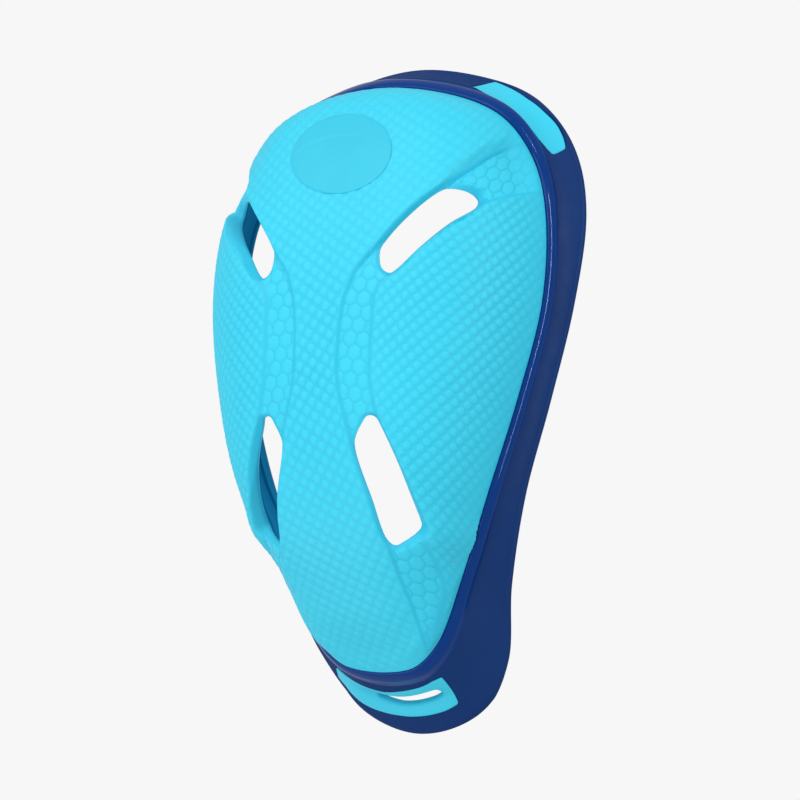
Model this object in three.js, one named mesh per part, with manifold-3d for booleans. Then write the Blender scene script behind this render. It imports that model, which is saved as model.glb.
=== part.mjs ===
// Abdominal guard: a hard domed cup with four vents, a soft flared rim moulded round its foot,
// and a round film label near the top of its centre panel.
//
// Millimetres. +Z points out of the front of the cup, +Y to its wide upper end, +X to the right
// of a viewer who faces the front. The rim stands on Z = 0 at its upper and lower ends and
// arches clear of it along both sides.

import * as THREE from "three";
import { mergeVertices } from "three/addons/utils/BufferGeometryUtils.js";
import Module from "manifold-3d";

// ---------------------------------------------------------------- driving sizes

const SHELL_WALL = 3.0; // thickness of the cup
const CLEARANCE = 0.35; // between the cup and the rim moulded round it
const SHOULDER = 1.0; // step from the cup's face in to its tongue
const TONGUE_WALL = 1.8; // tongue that the rim grips
const TONGUE_PAST_BEAD = 2.0; // how far the tongue runs below the foot of the bead
const BEAD_PROUD = 1.2; // swell of the bead outside the cup's face
const LIP_WALL = 1.3; // inner lip of the rim, behind the tongue
const LIP_DROP = 3.0; // the lip stops this far below the edge of the cup's face
const FLANGE_DISH = 0.5; // hollow of the flared skirt
const EDGE_ROUND = 0.7; // rolled outer edge
const SEAT_WIDTH = 6.0; // underside of the rim
const FLANGE_WALL_IN = 5.0; // level thickness of the skirt at the foot of the bead

const TAB_RECESS = 0.6; // a strap tab lies this far below the skirt's face
const TAB_WALL = 1.6;
const TAB_CLEARANCE = 0.35;

const LABEL_RADIUS = 14.7; // half its width
const LABEL_TALL = 0.77; // its height as a share of its width
const LABEL_LEAN = -0.22; // how far its upper part is set over, as a share of its height
const LABEL_X = -0.45;
const LABEL_Y = 59.4;
const LABEL_LIFT = 0.3;
const LABEL_FILM = 0.4;

const STATIONS = 80; // sections round the rim
const FACE_STEPS = 15; // steps from the cup's spine to its edge, outside
const INNER_STEPS = 7; // and inside
const SPINE_TOP = 50;
const SPINE_FOOT = -40;
const SLOT_ARC_STEPS = 8;

const CYAN = 0x46d4f2;
const NAVY = 0x16378a;

// The right half of the rim, from the middle of the upper end to the middle of the lower end.
// x, y, z: outer edge. into, rise: from there to the line where cup and rim meet.
// bead_in, bead_drop: from that line down to the foot of the bead.
const RIM_ROWS = [
  { x: 0.0, y: 83.7, z: -0.5, into: 6.7, rise: 20.6, bead_in: 2.4, bead_drop: 4.0 },
  { x: 19.7, y: 80.4, z: -0.4, into: 5.9, rise: 16.8, bead_in: 2.3, bead_drop: 4.0 },
  { x: 36.1, y: 73.3, z: 2.0, into: 6.1, rise: 12.7, bead_in: 2.0, bead_drop: 3.8 },
  { x: 46.8, y: 60.7, z: 3.2, into: 6.9, rise: 10.3, bead_in: 1.6, bead_drop: 3.5 },
  { x: 52.3, y: 43.8, z: 7.4, into: 6.5, rise: 9.1, bead_in: 1.2, bead_drop: 3.3 },
  { x: 51.0, y: 22.1, z: 11.1, into: 4.4, rise: 8.6, bead_in: 1.0, bead_drop: 3.2 },
  { x: 46.5, y: -1.0, z: 14.6, into: 4.5, rise: 8.7, bead_in: 1.0, bead_drop: 3.2 },
  { x: 40.1, y: -23.1, z: 15.4, into: 5.0, rise: 9.8, bead_in: 1.1, bead_drop: 3.4 },
  { x: 33.25, y: -45.0, z: 10.5, into: 8.05, rise: 11.0, bead_in: 1.6, bead_drop: 3.6 },
  { x: 27.7, y: -64.3, z: 3.0, into: 11.3, rise: 17.4, bead_in: 2.6, bead_drop: 4.2 },
  { x: 17.35, y: -78.1, z: -1.1, into: 14.7, rise: 20.9, bead_in: 3.4, bead_drop: 5.0 },
  { x: 0.0, y: -83.7, z: -1.0, into: 16.6, rise: 20.5, bead_in: 3.8, bead_drop: 5.4 },
];
const LAST_ROW = RIM_ROWS.length - 1;

// The crest of the cup at even steps of an angle from its lower end to its upper end.
const CREST_ROWS = [19.5, 23.1, 33.2, 43.0, 47.3, 46.5, 42.8, 35.4, 27.7, 20.1].map((z) => ({ z }));

// How boxy the cross-sections are, at even steps from the lower end to the upper end.
const FULLNESS_ROWS = [2.86, 3.29, 3.06, 3.24, 3.54].map((power) => ({ power }));
const EDGE_SHARE = 0.96; // the sections stop short of a vertical wall

// The recessed channel between the centre panel and the right cheek, from the upper edge down.
const CHANNEL_ROWS = [
  { x: 45.0, y: 56.4, half: 7.0, depth: 1.2 },
  { x: 37.6, y: 49.9, half: 6.2, depth: 1.4 },
  { x: 27.0, y: 40.9, half: 5.8, depth: 1.5 },
  { x: 17.7, y: 32.0, half: 5.2, depth: 1.3 },
  { x: 12.4, y: 23.5, half: 5.2, depth: 0.7 },
  { x: 11.6, y: 13.7, half: 5.4, depth: 0.5 },
  { x: 12.0, y: 1.8, half: 5.5, depth: 0.5 },
  { x: 14.5, y: -10.1, half: 5.3, depth: 1.0 },
  { x: 17.7, y: -23.0, half: 5.5, depth: 1.2 },
  { x: 19.9, y: -33.8, half: 5.0, depth: 0.9 },
  { x: 18.6, y: -47.7, half: 4.6, depth: 0.5 },
  { x: 12.9, y: -60.6, half: 4.2, depth: 0.4 },
];
const CHANNEL_WALL = 2.2; // width of the slope at each side of a channel

// Vent slots of the right half: two round ends each, joined by straight edges.
const VENT_ROWS = [
  { x0: 18.7, y0: 32.9, r0: 3.4, x1: 32.6, y1: 46.2, r1: 4.3 },
  { x0: 14.2, y0: -8.4, r0: 3.7, x1: 19.9, y1: -31.2, r1: 4.6 },
];

// Strap windows of the rim: first and last row (rows past the last run back up the left side),
// and how much of the skirt stays outside the window.
const WINDOW_ROWS = [
  { from: 1.05, to: 3.05, keep: 1.8 },
  { from: 9.85, to: 12.15, keep: 5.4 },
  { from: 18.95, to: 20.95, keep: 1.8 },
];
const STRAP_SLOT = { from: 10.25, to: 11.75, start: 0.3, width: 4.6 };

// ---------------------------------------------------------------- smooth rows

// A smooth value between rows, even about both ends; keys named in odd change sign there.
function smoothRow(rows, at, odd = []) {
  const last = rows.length - 1;
  const key = (i, k) => {
    const j = i < 0 ? -i : i > last ? 2 * last - i : i;
    return rows[j][k] * (j !== i && odd.includes(k) ? -1 : 1);
  };
  const i = Math.min(Math.max(Math.floor(at), 0), last - 1),
    f = at - i,
    out = {};
  for (const k of Object.keys(rows[0])) {
    const [a, b, c, d] = [i - 1, i, i + 1, i + 2].map((n) => key(n, k));
    out[k] =
      0.5 *
      (2 * b + (c - a) * f + (2 * a - 5 * b + 4 * c - d) * f * f + (3 * b - a - 3 * c + d) * f * f * f);
  }
  return out;
}

const smoothstep = (a, b, v) => {
  const t = Math.min(Math.max((v - a) / (b - a), 0), 1);
  return t * t * (3 - 2 * t);
};

// ---------------------------------------------------------------- the rim's line

// Everything about one section of the rim. at runs 0 to 11 down the right side and 11 to 22 up the left.
function rimSection(at) {
  const right = at <= LAST_ROW,
    u = right ? at : 2 * LAST_ROW - at,
    row = smoothRow(RIM_ROWS, u, ["x"]);
  // The way in is square to a stretch of the line, so that the lines inside it turn gently.
  const e = 0.6,
    beside = (v) => {
      const past = v < 0 || v > LAST_ROW,
        q = smoothRow(RIM_ROWS, v < 0 ? -v : past ? 2 * LAST_ROW - v : v, ["x"]);
      return { x: past ? -q.x : q.x, y: q.y };
    },
    a = beside(u - e),
    b = beside(u + e),
    tx = b.x - a.x,
    ty = b.y - a.y,
    l = Math.hypot(tx, ty),
    inX = ty / l,
    inY = -tx / l,
    side = right ? 1 : -1,
    foot = Math.max(row.z, 0),
    top = row.z + row.rise;
  // A point of the section: level distance in from the outer edge, and height.
  const point = (into, z) => new THREE.Vector3(side * (row.x + inX * into), row.y + inY * into, z);
  return { ...row, foot, top, point };
}

// The foot of the bead and the skirt below it, in the plane of one section.
function skirt(s) {
  const knee = new THREE.Vector2(s.into - s.bead_in, s.top - s.bead_drop),
    edge = new THREE.Vector2(0.1, s.foot + 2 * EDGE_ROUND),
    down = edge.clone().sub(knee),
    length = down.length();
  down.normalize();
  const out = new THREE.Vector2(down.y, -down.x); // for a skirt running straight down this is -into
  return {
    knee,
    edge,
    length,
    // along: down the skirt from the knee. proud: out of its face.
    at: (along, proud) =>
      new THREE.Vector2(
        knee.x + down.x * along + out.x * proud,
        knee.y + down.y * along + out.y * proud,
      ),
  };
}

function rimOutline(s) {
  const k = skirt(s),
    beadLength = Math.hypot(s.bead_in, s.bead_drop),
    dx = -s.bead_in / beadLength,
    dz = -s.bead_drop / beadLength,
    bead = (along, proud) =>
      new THREE.Vector2(s.into + dx * along + dz * proud, s.top + dz * along - dx * proud),
    lean = s.bead_in / s.bead_drop,
    grooveDepth = s.bead_drop + TONGUE_PAST_BEAD + CLEARANCE,
    groove = (into, drop) => new THREE.Vector2(s.into + into - lean * drop, s.top - drop),
    outer = SHOULDER - CLEARANCE,
    inner = SHOULDER + TONGUE_WALL + CLEARANCE;
  return [
    groove(outer, CLEARANCE),
    new THREE.Vector2(s.into + 0.1, s.top - CLEARANCE),
    bead(0.22 * beadLength, 0.75 * BEAD_PROUD),
    bead(0.5 * beadLength, BEAD_PROUD),
    bead(0.85 * beadLength, 0.7 * BEAD_PROUD),
    k.at(0, 0),
    k.at(0.35 * k.length, -FLANGE_DISH),
    k.at(0.72 * k.length, -0.7 * FLANGE_DISH),
    k.at(k.length, 0),
    new THREE.Vector2(0, s.foot + EDGE_ROUND),
    new THREE.Vector2(EDGE_ROUND, s.foot),
    new THREE.Vector2(SEAT_WIDTH, s.foot),
    new THREE.Vector2(k.knee.x + FLANGE_WALL_IN, k.knee.y),
    new THREE.Vector2(s.into + inner + LIP_WALL - lean * LIP_DROP, s.top - LIP_DROP),
    groove(inner, LIP_DROP),
    groove(inner, grooveDepth),
    groove(outer, grooveDepth),
  ];
}

// ---------------------------------------------------------------- the cup's face

// The edge of the cup by height along Y, for the width and foot of each cross-section.
const edgeLine = Array.from({ length: 265 }, (_, i) => {
  const s = rimSection((i * LAST_ROW) / 264),
    p = s.point(s.into, s.top);
  return { x: p.x, y: p.y, z: p.z };
}).reverse();
const EDGE_FOOT = edgeLine[0].y,
  EDGE_TOP = edgeLine[edgeLine.length - 1].y;

function edgeAt(y) {
  let lo = 0,
    hi = edgeLine.length - 1;
  while (hi - lo > 1) {
    const mid = (lo + hi) >> 1;
    if (edgeLine[mid].y <= y) lo = mid;
    else hi = mid;
  }
  const a = edgeLine[lo],
    b = edgeLine[hi],
    f = Math.min(Math.max((y - a.y) / (b.y - a.y), 0), 1);
  return { x: Math.max(a.x + (b.x - a.x) * f, 1e-6), z: a.z + (b.z - a.z) * f };
}

// Height of the smooth dome over a point of the plan.
function domeHeight(x, y) {
  const share = Math.min(Math.max((y - EDGE_FOOT) / (EDGE_TOP - EDGE_FOOT), 0), 1),
    crest = smoothRow(CREST_ROWS, (Math.acos(1 - 2 * share) / Math.PI) * (CREST_ROWS.length - 1)).z,
    power = smoothRow(FULLNESS_ROWS, share * (FULLNESS_ROWS.length - 1)).power,
    edge = edgeAt(y),
    t = Math.min(Math.abs(x) / edge.x, 1),
    bow = (q) => Math.pow(1 - Math.pow(EDGE_SHARE * q, power), 1 / power);
  return edge.z + (crest - edge.z) * ((bow(t) - bow(1)) / (1 - bow(1)));
}

// A point of the dome: at round the rim, t from the spine (0) out to the edge (1).
function domePoint(at, t) {
  const s = rimSection(at),
    edge = s.point(s.into, s.top),
    half = (at <= LAST_ROW ? at : 2 * LAST_ROW - at) / LAST_ROW,
    spine = SPINE_TOP + (SPINE_FOOT - SPINE_TOP) * half,
    x = edge.x * t,
    y = spine + (edge.y - spine) * t;
  return new THREE.Vector3(x, y, t === 1 ? edge.z : domeHeight(x, y));
}

function domeNormal(at, t) {
  const e = 1e-3,
    t0 = Math.max(t - e, 0),
    t1 = Math.min(t + e, 1 - 1e-6),
    lap = 2 * LAST_ROW;
  const alongT = domePoint(at, t1).sub(domePoint(at, t0)),
    alongRim = domePoint((at + e) % lap, Math.min(t, 1 - 1e-6)).sub(
      domePoint((at - e + lap) % lap, Math.min(t, 1 - 1e-6)),
    ),
    n = alongT.cross(alongRim).normalize();
  return n.z < 0 ? n.negate() : n;
}

// Depth of the two channels at a point of the plan.
const channelLine = Array.from({ length: (CHANNEL_ROWS.length - 1) * 6 + 1 }, (_, i) =>
  smoothRow(CHANNEL_ROWS, i / 6),
);
function channelDepth(x, y) {
  let best = { off: Infinity, depth: 0 };
  for (let i = 0; i + 1 < channelLine.length; i++) {
    const a = channelLine[i],
      b = channelLine[i + 1],
      dx = b.x - a.x,
      dy = b.y - a.y,
      f = Math.min(Math.max(((Math.abs(x) - a.x) * dx + (y - a.y) * dy) / (dx * dx + dy * dy), 0), 1),
      d = Math.hypot(Math.abs(x) - a.x - f * dx, y - a.y - f * dy),
      off = d - (a.half + (b.half - a.half) * f);
    if (off < best.off) best = { off, depth: a.depth + (b.depth - a.depth) * f };
  }
  return best.depth * (1 - smoothstep(-CHANNEL_WALL, 0, best.off));
}

// ---------------------------------------------------------------- meshes

// A closed surface from strips of points: each strip joins the next, and the last joins the first if closed.
function stripSurface(strips, { roundTrip, closedStrip, caps }) {
  const n = strips[0].length,
    position = [],
    index = [];
  for (const strip of strips) for (const p of strip) position.push(p.x, p.y, p.z);
  const rows = roundTrip ? strips.length : strips.length - 1,
    columns = closedStrip ? n : n - 1;
  for (let i = 0; i < rows; i++)
    for (let j = 0; j < columns; j++) {
      const a = i * n + j,
        b = i * n + ((j + 1) % n),
        c = ((i + 1) % strips.length) * n + j,
        d = ((i + 1) % strips.length) * n + ((j + 1) % n);
      index.push(a, b, c, b, d, c);
    }
  if (caps) {
    const contour = THREE.ShapeUtils.area(caps) > 0;
    for (const [first, along] of [
      [0, false],
      [(strips.length - 1) * n, true],
    ])
      for (const [a, b, c] of THREE.ShapeUtils.triangulateShape(caps, [])) {
        const same = THREE.ShapeUtils.area([caps[a], caps[b], caps[c]]) > 0 === contour;
        index.push(first + a, first + (same === along ? b : c), first + (same === along ? c : b));
      }
  }
  const g = new THREE.BufferGeometry();
  g.setAttribute("position", new THREE.Float32BufferAttribute(position, 3));
  g.setIndex(index);
  return facingOut(g);
}

// Turns a closed surface round if its faces point in.
function facingOut(geometry) {
  const p = geometry.getAttribute("position"),
    i = geometry.index.array,
    [a, b, c] = [new THREE.Vector3(), new THREE.Vector3(), new THREE.Vector3()];
  let volume = 0;
  for (let k = 0; k < i.length; k += 3) {
    a.fromBufferAttribute(p, i[k]);
    b.fromBufferAttribute(p, i[k + 1]);
    c.fromBufferAttribute(p, i[k + 2]);
    volume += a.dot(b.cross(c));
  }
  if (volume < 0) for (let k = 0; k < i.length; k += 3) [i[k + 1], i[k + 2]] = [i[k + 2], i[k + 1]];
  return geometry;
}

const wasm = await Module();
wasm.setup();

function solid(geometry) {
  const g = geometry.clone();
  g.deleteAttribute("normal");
  g.deleteAttribute("uv");
  const merged = mergeVertices(g, 1e-4),
    made = new wasm.Manifold(
      new wasm.Mesh({
        numProp: 3,
        vertProperties: new Float32Array(merged.getAttribute("position").array),
        triVerts: new Uint32Array(merged.index.array),
      }),
    );
  return made;
}

function geometryOf(made) {
  const m = made.getMesh(),
    n = m.numProp,
    v = new Float32Array(m.numVert * 3);
  for (let i = 0; i < m.numVert; i++) v.set(m.vertProperties.subarray(i * n, i * n + 3), i * 3);
  const g = new THREE.BufferGeometry();
  g.setAttribute("position", new THREE.BufferAttribute(v, 3));
  g.setIndex(new THREE.BufferAttribute(new Uint32Array(m.triVerts), 1));
  g.computeVertexNormals();
  return g;
}

const stations = Array.from({ length: STATIONS }, (_, i) => (i * 2 * LAST_ROW) / STATIONS);

// A stretch of the rim swept with an outline drawn in the plane of each section.
function sweep(from, to, steps, outline) {
  const shapes = [],
    strips = Array.from({ length: steps + 1 }, (_, i) => {
      const s = rimSection(from + ((to - from) * i) / steps),
        shape = outline(s);
      shapes.push(shape);
      return shape.map((p) => s.point(p.x, p.y));
    });
  return solid(stripSurface(strips, { closedStrip: true, caps: shapes[0] }));
}

// ---------------------------------------------------------------- shell

function shellBody() {
  const strips = stations.map((at) => {
    const s = rimSection(at),
      lean = s.bead_in / s.bead_drop,
      drop = s.bead_drop + TONGUE_PAST_BEAD,
      strip = [];
    for (let i = 0; i <= FACE_STEPS; i++) {
      const t = i / FACE_STEPS,
        p = domePoint(at, t),
        fade = 1 - smoothstep(0.93, 1, t);
      p.addScaledVector(domeNormal(at, t), -channelDepth(p.x, p.y) * fade);
      if (i === 0) p.x = 0;
      strip.push(p);
    }
    strip.push(s.point(s.into + SHOULDER, s.top));
    strip.push(s.point(s.into + SHOULDER - lean * drop, s.top - drop));
    for (const d of [drop, LIP_DROP - CLEARANCE])
      strip.push(s.point(s.into + SHOULDER + TONGUE_WALL - lean * d, s.top - d));
    for (let i = INNER_STEPS; i >= 0; i--) {
      const t = i / INNER_STEPS,
        p = domePoint(at, t).addScaledVector(domeNormal(at, t), -SHELL_WALL);
      if (i === 0) p.x = 0;
      strip.push(p);
    }
    return strip;
  });
  return solid(stripSurface(strips, { roundTrip: true }));
}

// A slot with two round ends, cut straight through along Z.
function ventCutter({ x0, y0, r0, x1, y1, r1 }, side) {
  const heading = Math.atan2(y1 - y0, x1 - x0),
    spread = Math.acos((r0 - r1) / Math.hypot(x1 - x0, y1 - y0)),
    outline = [];
  const arc = (x, y, r, a, b) => {
    for (let i = 0; i <= SLOT_ARC_STEPS; i++) {
      const q = a + ((b - a) * i) / SLOT_ARC_STEPS;
      outline.push(new THREE.Vector2(side * (x + r * Math.cos(q)), y + r * Math.sin(q)));
    }
  };
  arc(x1, y1, r1, heading - spread, heading + spread);
  arc(x0, y0, r0, heading + spread, heading - spread + 2 * Math.PI);
  if (side < 0) outline.reverse();
  return solid(new THREE.ExtrudeGeometry(new THREE.Shape(outline), { depth: 60, bevelEnabled: false }));
}

function tabOutline(keep) {
  return (s) => {
    const k = skirt(s),
      end = k.length - keep - TAB_CLEARANCE;
    return [
      k.at(-0.4, -TAB_RECESS - 0.4),
      k.at(0.5 * end, -TAB_RECESS - 0.35),
      k.at(end, -TAB_RECESS),
      k.at(end, -TAB_RECESS - TAB_WALL),
      k.at(0.5 * end, -TAB_RECESS - TAB_WALL - 0.35),
      k.at(-0.4, -TAB_RECESS - TAB_WALL),
    ];
  };
}

function windowOutline(keep) {
  return (s) => {
    const k = skirt(s),
      end = k.length - keep;
    return [k.at(0, 4), k.at(end, 4), k.at(end, -9), k.at(0, -9)];
  };
}

// Share of a row that spans a distance along the rim, for clearances at the ends of a window.
function rowsFor(at, distance) {
  const e = 0.05,
    a = rimSection(at),
    b = rimSection(at + e);
  return (distance * e) / a.point(0, 0).distanceTo(b.point(0, 0));
}

let shell = shellBody();
for (const { from, to, keep } of WINDOW_ROWS) {
  const gap0 = rowsFor(from, TAB_CLEARANCE),
    gap1 = rowsFor(to - 0.05, TAB_CLEARANCE);
  shell = shell.add(sweep(from + gap0, to - gap1, 8, tabOutline(keep)));
}
for (const vent of VENT_ROWS) for (const side of [1, -1]) shell = shell.subtract(ventCutter(vent, side));
shell = shell.subtract(
  sweep(STRAP_SLOT.from, STRAP_SLOT.to, 8, (s) => {
    const k = skirt(s),
      a = STRAP_SLOT.start,
      b = a + STRAP_SLOT.width;
    return [k.at(a, 3), k.at(b, 3), k.at(b, -8), k.at(a, -8)];
  }),
);

// ---------------------------------------------------------------- rim

function rimBody() {
  const strips = stations.map((at) => {
    const s = rimSection(at);
    return rimOutline(s).map((p) => s.point(p.x, p.y));
  });
  return solid(stripSurface(strips, { roundTrip: true, closedStrip: true }));
}

let rim = rimBody();
for (const { from, to, keep } of WINDOW_ROWS) rim = rim.subtract(sweep(from, to, 8, windowOutline(keep)));

// ---------------------------------------------------------------- label

// A round film laid on the dome: rings of points on its lower face, then on its upper face.
function labelBody() {
  const e = 0.05,
    slopeX = (domeHeight(LABEL_X + e, LABEL_Y) - domeHeight(LABEL_X - e, LABEL_Y)) / (2 * e),
    slopeY = (domeHeight(LABEL_X, LABEL_Y + e) - domeHeight(LABEL_X, LABEL_Y - e)) / (2 * e),
    acrossX = 1 / Math.hypot(1, slopeX),
    alongY = 1 / Math.hypot(1, slopeY),
    around = 32,
    rings = [0.34, 0.67, 1];
  const lay = (radius, turn, lift) => {
    const x = LABEL_X + radius * (Math.cos(turn) + LABEL_LEAN * LABEL_TALL * Math.sin(turn)) * acrossX,
      y = LABEL_Y + radius * LABEL_TALL * Math.sin(turn) * alongY,
      z = domeHeight(x, y),
      n = new THREE.Vector3(
        -(domeHeight(x + e, y) - domeHeight(x - e, y)) / (2 * e),
        -(domeHeight(x, y + e) - domeHeight(x, y - e)) / (2 * e),
        1,
      ).normalize();
    return new THREE.Vector3(x, y, z).addScaledVector(n, lift);
  };
  const strips = Array.from({ length: around }, (_, i) => {
    const turn = (2 * Math.PI * i) / around,
      strip = [lay(0, 0, LABEL_LIFT)];
    for (const r of rings) strip.push(lay(r * LABEL_RADIUS, turn, LABEL_LIFT));
    for (const r of [...rings].reverse()) strip.push(lay(r * LABEL_RADIUS, turn, LABEL_LIFT + LABEL_FILM));
    strip.push(lay(0, 0, LABEL_LIFT + LABEL_FILM));
    return strip;
  });
  return solid(stripSurface(strips, { roundTrip: true }));
}

// ---------------------------------------------------------------- assembly

const shellPlastic = new THREE.MeshStandardMaterial({ color: CYAN, roughness: 0.5, metalness: 0 });
const rimRubber = new THREE.MeshStandardMaterial({ color: NAVY, roughness: 0.4, metalness: 0 });
const labelFilm = new THREE.MeshStandardMaterial({ color: 0x41c6e4, roughness: 0.35, metalness: 0 });

const guard = new THREE.Group();
for (const [name, made, material] of [
  ["shell", shell, shellPlastic],
  ["rim", rim, rimRubber],
  ["label_disc", labelBody(), labelFilm],
]) {
  const mesh = new THREE.Mesh(geometryOf(made), material);
  mesh.name = name;
  guard.add(mesh);
}

export default guard;
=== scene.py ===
"""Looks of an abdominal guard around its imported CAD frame: a moulded vented cup with a raised
hourglass panel, a soft flared rim with three windows, the strap tabs in them, and a film label.

Lengths in this script are millimetres until a mesh is made. +Z points out of the front of the cup,
+Y to its wide upper end, and the rim stands on Z = 0."""

import math

import bpy
import numpy as np
from mathutils import Matrix, Vector, kdtree
from mathutils.geometry import delaunay_2d_cdt


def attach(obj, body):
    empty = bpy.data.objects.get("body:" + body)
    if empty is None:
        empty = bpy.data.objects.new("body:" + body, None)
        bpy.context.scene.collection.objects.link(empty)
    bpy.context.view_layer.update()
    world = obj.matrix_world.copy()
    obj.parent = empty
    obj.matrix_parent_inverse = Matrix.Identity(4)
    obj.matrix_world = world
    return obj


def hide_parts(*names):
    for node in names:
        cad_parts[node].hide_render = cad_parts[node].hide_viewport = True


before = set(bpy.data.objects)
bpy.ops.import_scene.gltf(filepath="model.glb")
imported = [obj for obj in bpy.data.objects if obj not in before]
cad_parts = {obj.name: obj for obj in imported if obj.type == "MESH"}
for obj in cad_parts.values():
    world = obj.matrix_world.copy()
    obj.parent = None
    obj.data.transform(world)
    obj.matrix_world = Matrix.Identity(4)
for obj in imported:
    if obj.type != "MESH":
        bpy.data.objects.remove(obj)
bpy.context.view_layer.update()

MM = 0.001

# ---------------------------------------------------------------- sizes shared with the CAD model

SHELL_WALL = 3.0
CLEARANCE = 0.35
SHOULDER = 1.0
TONGUE_WALL = 1.8
TONGUE_PAST_BEAD = 2.0
LIP_WALL = 1.3
LIP_DROP = 3.0
EDGE_ROUND = 0.7
SEAT_WIDTH = 6.0
FLANGE_WALL_IN = 5.0
EDGE_SHARE = 0.96
LABEL_RADIUS = 14.7  # half its width
LABEL_TALL = 0.77  # its height as a share of its width
LABEL_LEAN = -0.22  # how far its upper part is set over, as a share of its height
LABEL_X = -0.45
LABEL_Y = 59.4

# x, y, z of the rim's outer edge; into, rise to the line where cup and rim meet; bead_in, bead_drop.
RIM_ROWS = np.array([
    (0.0, 83.7, -0.5, 6.7, 20.6, 2.4, 4.0),
    (19.7, 80.4, -0.4, 5.9, 16.8, 2.3, 4.0),
    (36.1, 73.3, 2.0, 6.1, 12.7, 2.0, 3.8),
    (46.8, 60.7, 3.2, 6.9, 10.3, 1.6, 3.5),
    (52.3, 43.8, 7.4, 6.5, 9.1, 1.2, 3.3),
    (51.0, 22.1, 11.1, 4.4, 8.6, 1.0, 3.2),
    (46.5, -1.0, 14.6, 4.5, 8.7, 1.0, 3.2),
    (40.1, -23.1, 15.4, 5.0, 9.8, 1.1, 3.4),
    (33.25, -45.0, 10.5, 8.05, 11.0, 1.6, 3.6),
    (27.7, -64.3, 3.0, 11.3, 17.4, 2.6, 4.2),
    (17.35, -78.1, -1.1, 14.7, 20.9, 3.4, 5.0),
    (0.0, -83.7, -1.0, 16.6, 20.5, 3.8, 5.4),
])
LAST = len(RIM_ROWS) - 1
CREST_ROWS = np.array([19.5, 23.1, 33.2, 43.0, 47.3, 46.5, 42.8, 35.4, 27.7, 20.1])[:, None]
FULLNESS_ROWS = np.array([2.86, 3.29, 3.06, 3.24, 3.54])[:, None]

# ---------------------------------------------------------------- sizes of the looks

# Right-hand edges in plan: of the centre panel, and of the cheek across the channel from it.
PANEL_EDGE = np.array([
    (41.0, 64.5), (37.1, 60.2), (33.8, 55.6), (30.4, 52.0), (27.9, 49.6), (22.6, 44.6), (15.8, 36.9),
    (11.6, 32.5), (9.3, 29.5), (7.2, 23.6), (6.3, 17.3), (6.0, 6.7), (7.0, 0.4), (8.4, -4.3),
    (9.7, -9.6), (12.8, -20.8), (14.7, -30.2), (15.9, -35.9), (16.2, -39.1), (16.2, -43.2), (16.4, -47.5),
    (16.5, -51.0), (16.3, -54.5), (15.9, -58.0), (15.0, -62.5),
])
CHEEK_EDGE = np.array([
    (51.0, 52.2), (43.1, 48.6), (39.2, 46.6), (36.3, 45.1), (31.6, 40.2), (25.7, 34.8), (20.5, 29.4),
    (16.8, 27.0), (15.6, 23.5), (15.5, 17.6), (15.4, 11.6), (15.4, 4.3), (16.9, -3.3), (18.1, -7.2),
    (21.6, -17.1), (23.4, -26.9), (23.6, -31.8), (23.8, -34.8), (23.9, -38.7), (23.6, -42.7), (22.2, -47.7),
    (20.2, -52.8), (18.0, -58.1), (15.9, -62.5),
])
CHANNEL_DEPTH = np.array([(-62, 0.15), (-54, 0.35), (-40, 0.6), (-30, 0.9), (-8, 0.9), (2, 0.6), (25, 0.6),
                          (36, 1.0), (46, 1.5), (56, 2.0), (64, 1.4)])

# Vent outlines of the right half in plan, and the depth of their lip below the dome at each corner.
VENTS = [
    np.array([
        (28.5, 49.5, 1.5), (30.8, 50.2, 1.9), (34.6, 49.8, 3.0), (36.9, 48.1, 3.7), (36.9, 46.2, 3.7), (31.8, 41.8, 3.0),
        (25.6, 36.0, 2.5), (20.0, 30.3, 1.8), (18.6, 29.6, 1.7), (16.4, 30.9, 1.5), (15.5, 34.3, 1.4), (16.1, 36.5, 1.4),
    ]),
    np.array([
        (14.3, -4.5, 1.2), (16.3, -4.8, 1.4), (17.4, -6.9, 1.9), (21.6, -17.4, 2.5), (24.4, -30.0, 2.9), (24.2, -32.0, 2.9),
        (22.8, -33.4, 2.5), (18.9, -35.5, 1.8), (17.4, -36.0, 1.6), (16.0, -34.8, 1.3), (13.9, -24.5, 1.1), (10.7, -13.0, 1.0),
        (10.6, -10.4, 1.0), (12.4, -6.8, 1.0),
    ]),
]

DOT_HEIGHT = 0.23
# height of the cheeks' dots and, along Y, of the panel's dots, as shares of the full height
CHEEK_SHARE = 0.78
PANEL_SHARE = np.array([(-60, 0.48), (-45, 0.52), (-25, 0.70), (5, 0.90), (30, 0.74), (52, 0.58), (75, 0.50)])
PANEL_DOTS = dict(v1=(1.50, 2.17), v2=(-2.30, 1.38), radius=1.22)
CHEEK_DOTS = dict(v1=(-1.43, 2.05), v2=(1.68, 1.43), radius=1.08)
HEX_PITCH = 3.75
HEX_TURN = math.radians(-8)
HEX_TURN_LOW = math.radians(15)
HEX_GROOVE = 0.16

# Windows of the rim: corners as (row of the rim, share of the skirt from the bead's foot to the outer edge).
WINDOWS = {
    "upper_right": [(1.03, 0.38), (1.11, 0.66), (1.20, 0.95), (1.47, 0.90), (1.86, 0.84), (2.25, 0.87), (2.54, 0.92), (2.77, 0.88),
                   (2.96, 0.79), (2.98, 0.29), (2.85, 0.18), (2.62, 0.08), (2.28, 0.03), (1.97, 0.04), (1.68, 0.02), (1.40, 0.13),
                   (1.22, 0.21)],
    "lower": [(9.68, 0.12), (10.03, 0.67), (10.31, 0.68), (10.56, 0.67), (10.87, 0.66), (11.18, 0.665), (11.53, 0.71), (11.92, 0.79),
             (12.25, 0.83), (12.58, 0.86), (12.60, 0.40), (12.30, 0.26), (11.99, 0.21), (11.64, 0.195), (11.32, 0.18), (10.95, 0.13), (10.58, 0.11),
             (10.29, 0.10), (9.94, 0.08)],
}
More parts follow.
